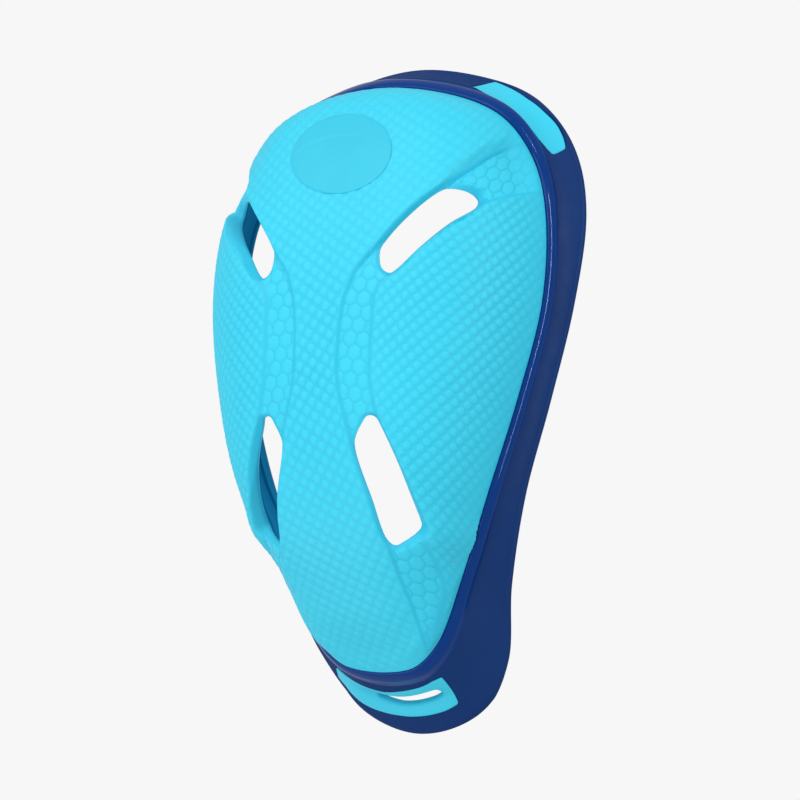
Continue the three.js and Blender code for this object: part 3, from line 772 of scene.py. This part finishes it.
    # through the vents
    first = n
    for loop, depth in vents:
        k = len(loop)
        a = np.arange(first, first + k)
        ring = [a]
        for o, d in ((0.12, 0.45), (0.5, 0.9)):
            q = FLAT.to_plan(loop + outward(loop) * o)
            ring.append(add(on_dome(q) - normal[a] * (depth + d)[:, None]))
        ring.append(len(face) + a)
        for p, q in zip(ring[:-1], ring[1:]):
            walls.append(strip(p, q))
        first += k
    points = np.vstack(points)
    # turn each strip to agree with the face it joins
    seen = set()
    for a, b, c in tri.tolist():
        seen.update(((a, b), (b, c), (c, a)))
    out_walls = []
    for w in walls:
        if any(((int(x), int(y)) in seen) for x, y in w[:len(w) // 2, :2]):
            w = w[:, ::-1]
        for a, b, c in w.tolist():
            seen.update(((a, b), (b, c), (c, a)))
        out_walls.append(w)
    faces = np.vstack(faces + out_walls)
    within = (np.arange(len(points)) >= outside).astype(float)
    return mesh_object("cup_shell", points, face_out(points, faces), 60, {"relief": np.concatenate(share), "within": within})


# ---------------------------------------------------------------- rim


def rim_profile(s):
    """The rim's outline in each section, as (into, z), closed."""
    n = len(s.into)
    col = lambda into, z: np.stack([np.broadcast_to(into, n), np.broadcast_to(z, n)], 1)
    length = np.hypot(s.bead_in, s.bead_drop)
    dx, dz = -s.bead_in / length, -s.bead_drop / length
    lean = s.bead_in / s.bead_drop
    groove = lambda into, drop: col(s.into + into - lean * drop, s.top - drop)
    outer, inner = SHOULDER - CLEARANCE, SHOULDER + TONGUE_WALL + CLEARANCE
    deep = s.bead_drop + TONGUE_PAST_BEAD + CLEARANCE
    # the bead is crisp along the sides, slack round the lower end and low round the upper end
    crisp = 1 - smoothstep(7.0, 9.0, s.row)
    full = 0.75 + 0.45 * smoothstep(0.6, 2.4, s.row)
    pts = [groove(outer, CLEARANCE), col(s.into + 0.12, s.top - 0.3)]
    for q in (1 - np.cos(np.linspace(0, np.pi, 19))) / 2:
        round_top = max(1 - (2 * q - 1) ** 2, 0) ** 0.42
        slack = round_top if q < 0.5 else math.cos(math.pi * (q - 0.5)) ** 2
        proud = crisp * full * round_top + (1 - crisp) * 0.7 * slack
        along = length * (0.02 + 0.96 * q)
        pts.append(col(s.into + dx * along + dz * proud, s.top + dz * along - dx * proud))
    for q in np.concatenate([np.linspace(0.004, 0.05, 4), np.linspace(0.09, 0.84, 15), np.linspace(0.87, 1, 7)]):
        dish = -0.55 * math.sin(math.pi * min(q / 0.9, 1.0)) ** 0.8 + 0.12 * math.exp(-((q - 0.93) / 0.05) ** 2)
        dish = dish - 0.25 * crisp * math.exp(-(q / 0.03) ** 2)
        p = s.knee + s.down * (q * s.length)[:, None] + s.out * dish[:, None]
        pts.append(p)
    for a in np.linspace(20, 90, 7):
        r = math.radians(a)
        pts.append(col(EDGE_ROUND - EDGE_ROUND * math.cos(r), s.foot + EDGE_ROUND - EDGE_ROUND * math.sin(r) + EDGE_ROUND * 0.6 * (1 - math.sin(r))))
    pts.append(col(SEAT_WIDTH * 0.5, s.foot))
    pts.append(col(SEAT_WIDTH, s.foot))
    a, b = col(SEAT_WIDTH, s.foot), col(s.knee[:, 0] + FLANGE_WALL_IN - 1.6, s.knee[:, 1] - 2.6)
    c = col(s.into + inner + 0.6 * LIP_WALL - lean * LIP_DROP, s.top - LIP_DROP - 1.2)
    for q in (0.33, 0.67, 1.0):
        pts.append(a + (b - a) * q)
    pts.append((b + c) / 2)
    pts += [c, groove(inner, LIP_DROP), groove(inner, deep), groove(outer, deep)]
    return np.stack(pts, 1)


def rim_stations(count):
    dense = np.linspace(0, 2 * LAST, 6001)
    s = Sections(dense[:-1])
    p = s.point(np.zeros(len(s.x)), s.foot)
    run = np.concatenate([[0], np.cumsum(np.linalg.norm(np.roll(p, -1, 0) - p, axis=1))])
    return np.interp(np.linspace(0, run[-1], count + 1)[:-1], run, dense)


class Band:
    """The skirt laid out flat along one window: a along the rim, w down the skirt."""

    def __init__(self, first, last):
        self.at = np.linspace(first, last, 800)
        s = Sections(self.at)
        p = s.skirt(0.45 * s.length, np.zeros(len(self.at)))
        self.a = np.concatenate([[0], np.cumsum(np.linalg.norm(np.diff(p, axis=0), axis=1))])
        self.length = s.length

    def corners(self, rows):
        rows = np.array(rows, float)
        return np.stack([np.interp(rows[:, 0], self.at, self.a), rows[:, 1] * np.interp(rows[:, 0], self.at, self.length)], 1)

    def point(self, q, proud):
        s = Sections(np.interp(q[:, 0], self.a, self.at))
        return s.skirt(q[:, 1], np.broadcast_to(proud, len(q)))


def cutter(name, band, loop, levels):
    """A closed plug through the skirt: the loop at several heights, each grown by its own margin."""
    n = outward(loop)
    k = len(loop)
    rings = [band.point(loop + n * grow, proud) for proud, grow in levels]
    mid = [band.point(loop.mean(0)[None], levels[0][0]), band.point(loop.mean(0)[None], levels[-1][0])]
    grid = lattice((2.0, 0), (1.0, 1.7), (0.0, 0.0), loop.min(0), loop.max(0))
    grid = clear_of(grid[inside(grid, loop)], loop, 0.8)
    at, tri = triangulate([loop], grid)
    caps = []
    for proud, grow in (levels[0], levels[-1]):
        p = at.copy()
        p[:k] += n * grow
        caps.append(band.point(p, proud))
    points = np.vstack(caps + rings[1:-1])
    m = len(at)
    ids = [np.arange(k)] + [2 * m + i * k + np.arange(k) for i in range(len(levels) - 2)] + [m + np.arange(k)]
    faces = [tri, tri[:, ::-1] + m]
    seen = {(a, b) for t in tri.tolist() for a, b in ((t[0], t[1]), (t[1], t[2]), (t[2], t[0]))}
    for a, b in zip(ids[:-1], ids[1:]):
        w = strip(a, b)
        if (int(w[0, 0]), int(w[0, 1])) in seen:
            w = w[:, ::-1]
        seen.update((x, y) for t in w.tolist() for x, y in ((t[0], t[1]), (t[1], t[2]), (t[2], t[0])))
        faces.append(w)
    faces = np.vstack(faces)
    return mesh_object(name, points, face_out(points, faces))


def cut(ob, cutters):
    """The object with the plugs taken out of it."""
    for c in cutters:
        m = ob.modifiers.new("cut", "BOOLEAN")
        m.operation, m.solver, m.object = "DIFFERENCE", "MANIFOLD", c
    bpy.context.view_layer.update()
    made = bpy.data.meshes.new_from_object(ob.evaluated_get(bpy.context.evaluated_depsgraph_get()))
    ob.modifiers.clear()
    old = ob.data
    ob.data = made
    made.name = old.name + "_cut"
    bpy.data.meshes.remove(old)
    for c in cutters:
        me = c.data
        bpy.data.objects.remove(c)
        bpy.data.meshes.remove(me)
    return ob


def window_loops():
    """name: band, outline of the window laid out flat."""
    out = {}
    for name, rows in WINDOWS.items():
        at = [r[0] for r in rows]
        band = Band(min(at) - 0.4, max(at) + 0.4)
        out[name] = (band, spaced(rounded(band.corners(rows), True, 3, 1.4), 0.45, True))
    rows = [(2 * LAST - a, w) for a, w in WINDOWS["upper_right"]]
    at = [r[0] for r in rows]
    band = Band(min(at) - 0.4, max(at) + 0.4)
    out["upper_left"] = (band, spaced(rounded(band.corners(rows), True, 3, 1.4), 0.45, True))
    return out


def rim_mesh(windows):
    s = Sections(rim_stations(640))
    outline = rim_profile(s)
    n, k, _ = outline.shape
    p = s.point(outline[:, :, 0], outline[:, :, 1]).reshape(-1, 3)
    i, j = np.meshgrid(np.arange(n), np.arange(k), indexing="ij")
    i2, j2 = (i + 1) % n, (j + 1) % k
    a, b, c, d = (x.ravel() for x in (i * k + j, i * k + j2, i2 * k + j2, i2 * k + j))
    tri = np.vstack([np.stack([a, b, c], 1), np.stack([a, c, d], 1)])
    quads = np.stack([a, b, c, d], 1)
    if (face_out(p, tri) != tri).any():
        quads = quads[:, ::-1]
    within = np.zeros(k)
    within[k - 9:k - 2] = 1.0
    bead = np.zeros(k)
    bead[1:20] = 1.0
    ob = mesh_object("soft_rim", p, quads, None, {"within": np.tile(within, n), "bead": np.tile(bead, n)})
    through = ((3.5, 0.5), (0.1, 0.28), (-0.35, 0.0), (-9.0, 0.0))
    flared = ((3.5, 0.5), (0.1, 0.28), (-0.35, 0.0), (-2.2, 0.0), (-3.2, 2.2), (-9.0, 2.2))
    cutters = [cutter("plug_" + name, band, loop, flared if name == "lower" else through)
               for name, (band, loop) in windows.items()]
    cut(ob, cutters)
    ob.data.shade_smooth()
    ob.data.set_sharp_from_angle(angle=math.radians(38))
    return ob


def tab_mesh(name, band, loop, hole=None):
    """A strap tab in its window: a dished plate, with a strap slot where one is given. Its dish and trough are
    coloured darker as painted shade.
    """
    n = outward(loop)
    loop = spaced(loop - n * 0.12, 0.45, True)
    loops = [loop] + ([hole] if hole is not None else [])
    grid = lattice((0.9, 0), (0.45, 0.78), (0.0, 0.0), loop.min(0), loop.max(0))
    grid = grid[inside(grid, loop)]
    if hole is not None:
        grid = grid[~inside(grid, hole)]
        ring = np.vstack([hole + outward(hole) * o for o in (0.25, 0.55, 0.95)])
        ring = clear_of(ring[inside(ring, loop)], np.vstack(loops), 0.18)
    else:
        ring = np.zeros((0, 2))
    near = np.vstack([loop - outward(loop) * o for o in (0.25, 0.55)])
    if hole is not None:
        near = near[~inside(near, hole)]
    near = clear_of(near, np.vstack(loops + [ring]), 0.18)
    ring = np.vstack([ring, near])
    grid = clear_of(grid, np.vstack(loops + [ring]), 0.45)
    at, tri = triangulate(loops, np.vstack([ring, grid]))
    wmax = np.interp(at[:, 0], band.a, band.length)
    share = at[:, 1] / wmax
    painted_shade_tone = np.full(len(at), 0.75)
    if hole is None:
        hollow = np.sin(np.pi * np.clip(share / 0.9, 0, 1) ** 0.8) ** 1.2
        dish = 0.05 + 0.75 * hollow
        # painted shade: the colour is darkened in the tab's dish
        painted_shade_tone -= 0.35 * hollow
    else:
        row = np.interp(at[:, 0], band.a, band.at)
        trough = np.exp(-((share - 0.39) / 0.15) ** 2) * smoothstep(9.75, 10.2, row) * smoothstep(12.5, 11.7, row)
        dish = 0.08 + 1.30 * trough
        # painted shade: the colour is darkened in the trough by the strap slot
        painted_shade_tone -= 0.75 * trough
    top = -dish
    d, _ = distance_to(at, loop, True)
    top -= 0.18 * (1 - np.sqrt(np.maximum(1 - (1 - np.clip(d / 0.4, 0, 1)) ** 2, 0)))
    if hole is not None:
        d, _ = distance_to(at, hole, True)
        top -= 0.45 * (1 - np.sqrt(np.maximum(1 - (1 - np.clip(d / 0.6, 0, 1)) ** 2, 0)))
    upper, under = band.point(at, top), band.point(at, -dish - 1.6)
    m = len(at)
    points = np.vstack([upper, under])
    faces = [tri, tri[:, ::-1] + m]
    seen = {(a, b) for t in tri.tolist() for a, b in ((t[0], t[1]), (t[1], t[2]), (t[2], t[0]))}
    first = 0
    for l in loops:
        a = np.arange(first, first + len(l))
        w = strip(a, a + m)
        if (int(w[0, 0]), int(w[0, 1])) in seen:
            w = w[:, ::-1]
        faces.append(w)
        first += len(l)
    faces = np.vstack(faces)
    return mesh_object(name, points, face_out(points, faces), 50, {"relief": np.concatenate([painted_shade_tone, painted_shade_tone])})


# ---------------------------------------------------------------- label


def label_mesh():
    e = 0.05
    slope_x = (dome_height(LABEL_X + e, LABEL_Y) - dome_height(LABEL_X - e, LABEL_Y)) / (2 * e)
    slope_y = (dome_height(LABEL_X, LABEL_Y + e) - dome_height(LABEL_X, LABEL_Y - e)) / (2 * e)
    ax, ay = 1 / math.hypot(1, slope_x), 1 / math.hypot(1, slope_y)
    around, rings = 160, 44
    r = LABEL_RADIUS * np.concatenate([np.linspace(0, 0.97, rings - 3)[1:], [0.985, 0.995, 1.0]])
    a = np.arange(around) * 2 * np.pi / around
    q = np.vstack([[(0.0, 0.0)], (r[:, None, None] * np.stack([np.cos(a), LABEL_TALL * np.sin(a)], 1)[None]).reshape(-1, 2)])
    plan = np.stack([LABEL_X + (q[:, 0] + LABEL_LEAN * q[:, 1]) * ax, LABEL_Y + q[:, 1] * ay], 1)
    z = lambda x, y: dome_height(x, y)
    n = np.stack([-(z(plan[:, 0] + e, plan[:, 1]) - z(plan[:, 0] - e, plan[:, 1])) / (2 * e),
                  -(z(plan[:, 0], plan[:, 1] + e) - z(plan[:, 0], plan[:, 1] - e)) / (2 * e),
                  np.ones(len(plan))], 1)
    n /= np.linalg.norm(n, axis=1)[:, None]
    base = on_dome(plan)
    radius = np.hypot(q[:, 0], q[:, 1] / LABEL_TALL)
    # soft creases of the film: an arc across its upper part, two short folds at its foot
    arc = q[:, 1] - (5.6 - 0.022 * q[:, 0] ** 2)
    fold = 0.05 * np.exp(-(arc / 0.4) ** 2) - 0.045 * np.exp(-((arc + 0.9) / 0.5) ** 2)
    for x0 in (-1.3, 0.2):
        fold += 0.08 * np.exp(-((q[:, 0] - x0) / 0.35) ** 2) * smoothstep(-7.0, -9.5, q[:, 1])
    fold += 0.02 * np.sin(q[:, 0] * 0.7 + 0.4) * np.sin(q[:, 1] * 0.55)
    over = 0.30 + fold * smoothstep(LABEL_RADIUS, LABEL_RADIUS - 1.2, radius)
    over -= 0.12 * smoothstep(LABEL_RADIUS * 0.97, LABEL_RADIUS, radius)
    upper, under = base + n * over[:, None], base + n * (over - 0.13)[:, None]
    tri = [(0, 1 + i, 1 + (i + 1) % around) for i in range(around)]
    for k in range(len(r) - 1):
        f, g = 1 + k * around, 1 + (k + 1) * around
        for i in range(around):
            j = (i + 1) % around
            tri += [(f + i, g + i, g + j), (f + i, g + j, f + j)]
    tri = np.array(tri)
    m = len(q)
    last = 1 + (len(r) - 1) * around + np.arange(around)
    wall = strip(last, last + m)[:, ::-1]
    points = np.vstack([upper, under])
    faces = np.vstack([tri, tri[:, ::-1] + m, wall])
    return mesh_object("film_label", points, face_out(points, faces), 50)


# ---------------------------------------------------------------- materials


class Nodes:
    def __init__(self, name):
        self.material = bpy.data.materials.new(name)
        self.material.use_nodes = True
        self.tree = self.material.node_tree
        self.shader = self.tree.nodes["Principled BSDF"]

    def add(self, kind, **values):
        n = self.tree.nodes.new(kind)
        for k, v in values.items():
            if k in n.inputs:
                n.inputs[k].default_value = v
            else:
                setattr(n, k, v)
        return n

    def link(self, a, b):
        self.tree.links.new(a, b)

    def ramp(self, stops, source):
        n = self.add("ShaderNodeValToRGB")
        while len(n.color_ramp.elements) < len(stops):
            n.color_ramp.elements.new(0.5)
        for el, (at, colour) in zip(n.color_ramp.elements, stops):
            el.position, el.color = at, (*colour, 1.0)
        self.link(source, n.inputs["Fac"])
        return n.outputs["Color"]

    def range(self, source, a, b, low, high):
        n = self.add("ShaderNodeMapRange")
        for k, v in (("From Min", a), ("From Max", b), ("To Min", low), ("To Max", high)):
            n.inputs[k].default_value = v
        self.link(source, n.inputs["Value"])
        return n.outputs["Result"]

    def noise(self, scale, detail=3.0, rough=0.5):
        n = self.add("ShaderNodeTexNoise")
        n.inputs["Scale"].default_value = scale
        n.inputs["Detail"].default_value = detail
        n.inputs["Roughness"].default_value = rough
        self.link(self.coords(), n.inputs["Vector"])
        return n

    def coords(self):
        if not hasattr(self, "_coords"):
            self._coords = self.add("ShaderNodeTexCoord").outputs["Object"]
        return self._coords


def plastic_cyan(name, deep, mid, crown):
    m = Nodes(name)
    # painted shade: the relief attribute picks the deep colour in grooves, channels, dishes and troughs and the crown
    # colour on the tops
    at = m.add("ShaderNodeAttribute", attribute_name="relief")
    blotch = m.noise(55.0, 4.0, 0.55)
    mix = m.add("ShaderNodeMath", operation="MULTIPLY_ADD")
    m.link(m.range(blotch.outputs["Fac"], 0.3, 0.7, -0.12, 0.12), mix.inputs[0])
    mix.inputs[1].default_value = 1.0
    m.link(at.outputs["Fac"], mix.inputs[2])
    m.link(m.ramp(((0.0, deep), (0.45, mid), (1.0, crown)), mix.outputs["Value"]), m.shader.inputs["Base Color"])
    grain = m.noise(1900.0, 2.0, 0.6)
    m.link(m.range(blotch.outputs["Fac"], 0.25, 0.75, 0.40, 0.52), m.shader.inputs["Roughness"])
    bump = m.add("ShaderNodeBump")
    bump.inputs["Strength"].default_value = 0.10
    bump.inputs["Distance"].default_value = 0.0002
    m.link(grain.outputs["Fac"], bump.inputs["Height"])
    m.link(bump.outputs["Normal"], m.shader.inputs["Normal"])
    m.shader.inputs["Specular IOR Level"].default_value = 0.22
    return m.material


def elastomer_navy(name):
    m = Nodes(name)
    cloud = m.noise(38.0, 4.0, 0.55)
    # painted light and shade: the flange's base is darker and the bead's lighter and bluer, though both are the one
    # elastomer
    flange = m.ramp(((0.25, (0.0016, 0.029, 0.145)), (0.75, (0.0024, 0.036, 0.172))), cloud.outputs["Fac"])
    bead = m.ramp(((0.25, (0.0008, 0.036, 0.205)), (0.75, (0.0012, 0.043, 0.235))), cloud.outputs["Fac"])
    painted_shade_tone = m.add("ShaderNodeMix", data_type="RGBA")
    on_bead = m.add("ShaderNodeAttribute", attribute_name="bead").outputs["Fac"]
    m.link(on_bead, painted_shade_tone.inputs["Factor"])
    m.link(flange, painted_shade_tone.inputs["A"])
    m.link(bead, painted_shade_tone.inputs["B"])
    # sparse pale dust
    cells = m.add("ShaderNodeTexVoronoi", feature="F1")
    cells.inputs["Scale"].default_value = 150.0
    m.link(m.coords(), cells.inputs["Vector"])
    speck = m.range(cells.outputs["Distance"], 0.035, 0.055, 1.0, 0.0)
    pick = m.add("ShaderNodeSeparateColor")
    m.link(cells.outputs["Color"], pick.inputs["Color"])
    some = m.range(pick.outputs["Red"], 0.90, 0.93, 0.0, 0.5)
    dust = m.add("ShaderNodeMath", operation="MULTIPLY")
    m.link(speck, dust.inputs[0])
    m.link(some, dust.inputs[1])
    mix = m.add("ShaderNodeMix", data_type="RGBA")
    m.link(dust.outputs["Value"], mix.inputs["Factor"])
    m.link(painted_shade_tone.outputs["Result"], mix.inputs["A"])
    mix.inputs["B"].default_value = (0.30, 0.36, 0.48, 1.0)
    m.link(mix.outputs["Result"], m.shader.inputs["Base Color"])
    fine = m.noise(260.0, 3.0, 0.6)
    rough = m.add("ShaderNodeMix", data_type="FLOAT")
    m.link(on_bead, rough.inputs["Factor"])
    m.link(m.range(fine.outputs["Fac"], 0.3, 0.7, 0.62, 0.74), rough.inputs["A"])
    m.link(m.range(fine.outputs["Fac"], 0.3, 0.7, 0.09, 0.15), rough.inputs["B"])
    m.link(rough.outputs["Result"], m.shader.inputs["Roughness"])
    bump = m.add("ShaderNodeBump")
    bump.inputs["Strength"].default_value = 0.12
    bump.inputs["Distance"].default_value = 0.0003
    m.link(fine.outputs["Fac"], bump.inputs["Height"])
    m.link(bump.outputs["Normal"], m.shader.inputs["Normal"])
    m.shader.inputs["Specular IOR Level"].default_value = 0.13
    return m.material


def matt_inside_painted_shade(name):
    """The matt inside of the cup and rim, painted a deeper, darker blue than their faces: painted shade for the dim
    hollow.
    """
    m = Nodes(name)
    cloud = m.noise(24.0, 3.0, 0.5)
    # painted shade: the inside is coloured a dark deep blue, as the hollow looks in shade
    m.link(m.ramp(((0.3, (0.004, 0.185, 0.375)), (0.7, (0.005, 0.205, 0.41))), cloud.outputs["Fac"]), m.shader.inputs["Base Color"])
    fine = m.noise(420.0, 3.0, 0.6)
    m.link(m.range(fine.outputs["Fac"], 0.3, 0.7, 0.85, 0.95), m.shader.inputs["Roughness"])
    bump = m.add("ShaderNodeBump")
    bump.inputs["Strength"].default_value = 0.12
    bump.inputs["Distance"].default_value = 0.0003
    m.link(fine.outputs["Fac"], bump.inputs["Height"])
    m.link(bump.outputs["Normal"], m.shader.inputs["Normal"])
    m.shader.inputs["Specular IOR Level"].default_value = 0.02
    return m.material


def line_inside(ob, material):
    """Give the faces within the hollow their own material, the matt one painted dark as shade."""
    me = ob.data
    me.materials.append(material)
    mark = np.empty(len(me.vertices), np.float32)
    me.attributes["within"].data.foreach_get("value", mark)
    corner = np.empty(len(me.loops), np.int32)
    me.loops.foreach_get("vertex_index", corner)
    start = np.empty(len(me.polygons), np.int32)
    me.polygons.foreach_get("loop_start", start)
    least = np.minimum.reduceat(mark[corner], start)
    me.polygons.foreach_set("material_index", (least > 0.99).astype(np.int32))
    me.update()


def film(name):
    m = Nodes(name)
    cloud = m.noise(90.0, 3.0, 0.5)
    m.link(m.ramp(((0.3, (0.032, 0.538, 0.735)), (0.7, (0.037, 0.568, 0.765))), cloud.outputs["Fac"]), m.shader.inputs["Base Color"])
    m.link(m.range(cloud.outputs["Fac"], 0.3, 0.7, 0.42, 0.50), m.shader.inputs["Roughness"])
    m.shader.inputs["Specular IOR Level"].default_value = 0.25
    bump = m.add("ShaderNodeBump")
    bump.inputs["Strength"].default_value = 0.08
    bump.inputs["Distance"].default_value = 0.0004
    m.link(cloud.outputs["Fac"], bump.inputs["Height"])
    m.link(bump.outputs["Normal"], m.shader.inputs["Normal"])
    return m.material


# ---------------------------------------------------------------- the pieces

# the deep colour is painted shade for grooves and recesses, the crown colour the lit tops
CYAN = plastic_cyan("cup_plastic", (0.035, 0.560, 0.790), (0.042, 0.622, 0.842), (0.047, 0.652, 0.868))
NAVY = elastomer_navy("rim_elastomer")
FILM = film("label_film")
HOLLOW = matt_inside_painted_shade("inside_painted_shade")

shell = shell_mesh()
shell.data.materials.append(CYAN)
line_inside(shell, HOLLOW)
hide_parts("shell")

windows = window_loops()
rim = rim_mesh(windows)
rim.data.materials.clear()
rim.data.materials.append(NAVY)
line_inside(rim, HOLLOW)
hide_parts("rim")

label = label_mesh()
label.data.materials.append(FILM)
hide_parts("label_disc")

pieces = [(shell, "shell"), (rim, "rim"), (label, "label")]
for name, (band, loop) in windows.items():
    hole = None
    if name == "lower":
        hole = spaced(rounded(band.corners(STRAP_SLOT), True, 3, 2.0), 0.4, True)
    tab = tab_mesh("strap_tab_" + name, band, loop, hole)
    tab.data.materials.append(CYAN)
    pieces.append((tab, "shell"))
for piece, slot in pieces:
    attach(piece, "root")

# ---------------------------------------------------------------- floor, light and camera


def plane(name, size, z, colour, rough):
    me = bpy.data.meshes.new(name)
    h = size / 2
    me.from_pydata([(-h, -h, z), (h, -h, z), (h, h, z), (-h, h, z)], [], [(0, 1, 2, 3)])
    ob = bpy.data.objects.new(name, me)
    bpy.context.scene.collection.objects.link(ob)
    m = Nodes(name)
    m.shader.inputs["Base Color"].default_value = (*colour, 1)
    m.shader.inputs["Roughness"].default_value = rough
    m.shader.inputs["Specular IOR Level"].default_value = 0.0
    me.materials.append(m.material)
    return ob, m


floor, floor_look = plane("floor", 40.0, 0.0, (0.0, 0.0, 0.0), 0.9)
floor_look.shader.inputs["Emission Color"].default_value = (1.0, 1.0, 1.0, 1)
floor_look.shader.inputs["Emission Strength"].default_value = 0.93
floor.visible_diffuse = floor.visible_glossy = floor.visible_transmission = floor.visible_shadow = False

world = bpy.data.worlds.new("studio")
bpy.context.scene.world = world
world.use_nodes = True
world.node_tree.nodes["Background"].inputs["Color"].default_value = (1.0, 1.0, 1.0, 1)
world.node_tree.nodes["Background"].inputs["Strength"].default_value = 0.54


def soft_light(name, place, power, width, height, aim=(0.0, 0.0, 0.025), colour=(1.0, 1.0, 1.0)):
    data = bpy.data.lights.new(name, "AREA")
    data.shape, data.size, data.size_y = "RECTANGLE", width, height
    data.energy, data.color = power, colour
    ob = bpy.data.objects.new(name, data)
    bpy.context.scene.collection.objects.link(ob)
    ob.location = place
    ob.rotation_euler = (Vector(aim) - Vector(place)).to_track_quat("-Z", "Y").to_euler()
    return ob


soft_light("key", (-0.40, 0.92, 1.12), 9.9, 1.1, 1.1)
soft_light("fill", (-0.68, -0.92, 0.98), 7.2, 1.1, 1.1)
soft_light("side_strip", (1.195, 0.483, 0.547), 7.5, 1.45, 0.033)

# a tall soft strip that only shines in the rim's gloss
gleam = soft_light("gleam", (1.268, 0.224, 0.547), 34.0, 2.1, 0.13, colour=(0.72, 0.80, 1.0))
gleam.visible_diffuse = False
on_rim = bpy.data.collections.new("gleam_on")
on_rim.objects.link(rim)
gleam.light_linking.receiver_collection = on_rim

under = soft_light("bounce", (0.0, 0.0, 0.0015), 0.013, 0.05, 0.10, aim=(0.0, 0.0, 0.05))
under.visible_camera = False

AZIMUTH, LIFT, ROLL = math.radians(33.76), math.radians(-1.28), math.radians(0.0)
TARGET, DISTANCE, PIXELS_PER_M = Vector((0.0, -0.00109, 0.025)), 0.7, 4080.0
CENTRE_PX = (366.4, 403.8)
towards = Vector((math.sin(AZIMUTH) * math.cos(LIFT), math.sin(LIFT), math.cos(AZIMUTH) * math.cos(LIFT)))
right = Vector((math.cos(AZIMUTH), 0.0, -math.sin(AZIMUTH)))
up = towards.cross(right)
right, up = right * math.cos(ROLL) + up * math.sin(ROLL), up * math.cos(ROLL) - right * math.sin(ROLL)
data = bpy.data.cameras.new("camera")
camera = bpy.data.objects.new("camera", data)
bpy.context.scene.collection.objects.link(camera)
camera.matrix_world = Matrix((
    (right.x, up.x, towards.x, (TARGET + towards * DISTANCE).x),
    (right.y, up.y, towards.y, (TARGET + towards * DISTANCE).y),
    (right.z, up.z, towards.z, (TARGET + towards * DISTANCE).z),
    (0, 0, 0, 1),
))
data.sensor_fit, data.sensor_width = "HORIZONTAL", 36.0
data.lens = PIXELS_PER_M * DISTANCE / 800 * 36.0
data.shift_x, data.shift_y = (400 - CENTRE_PX[0]) / 800, (CENTRE_PX[1] - 400) / 800
data.clip_start, data.clip_end = 0.05, 60.0
bpy.context.scene.camera = camera
bpy.context.scene.view_settings.view_transform = "Standard"
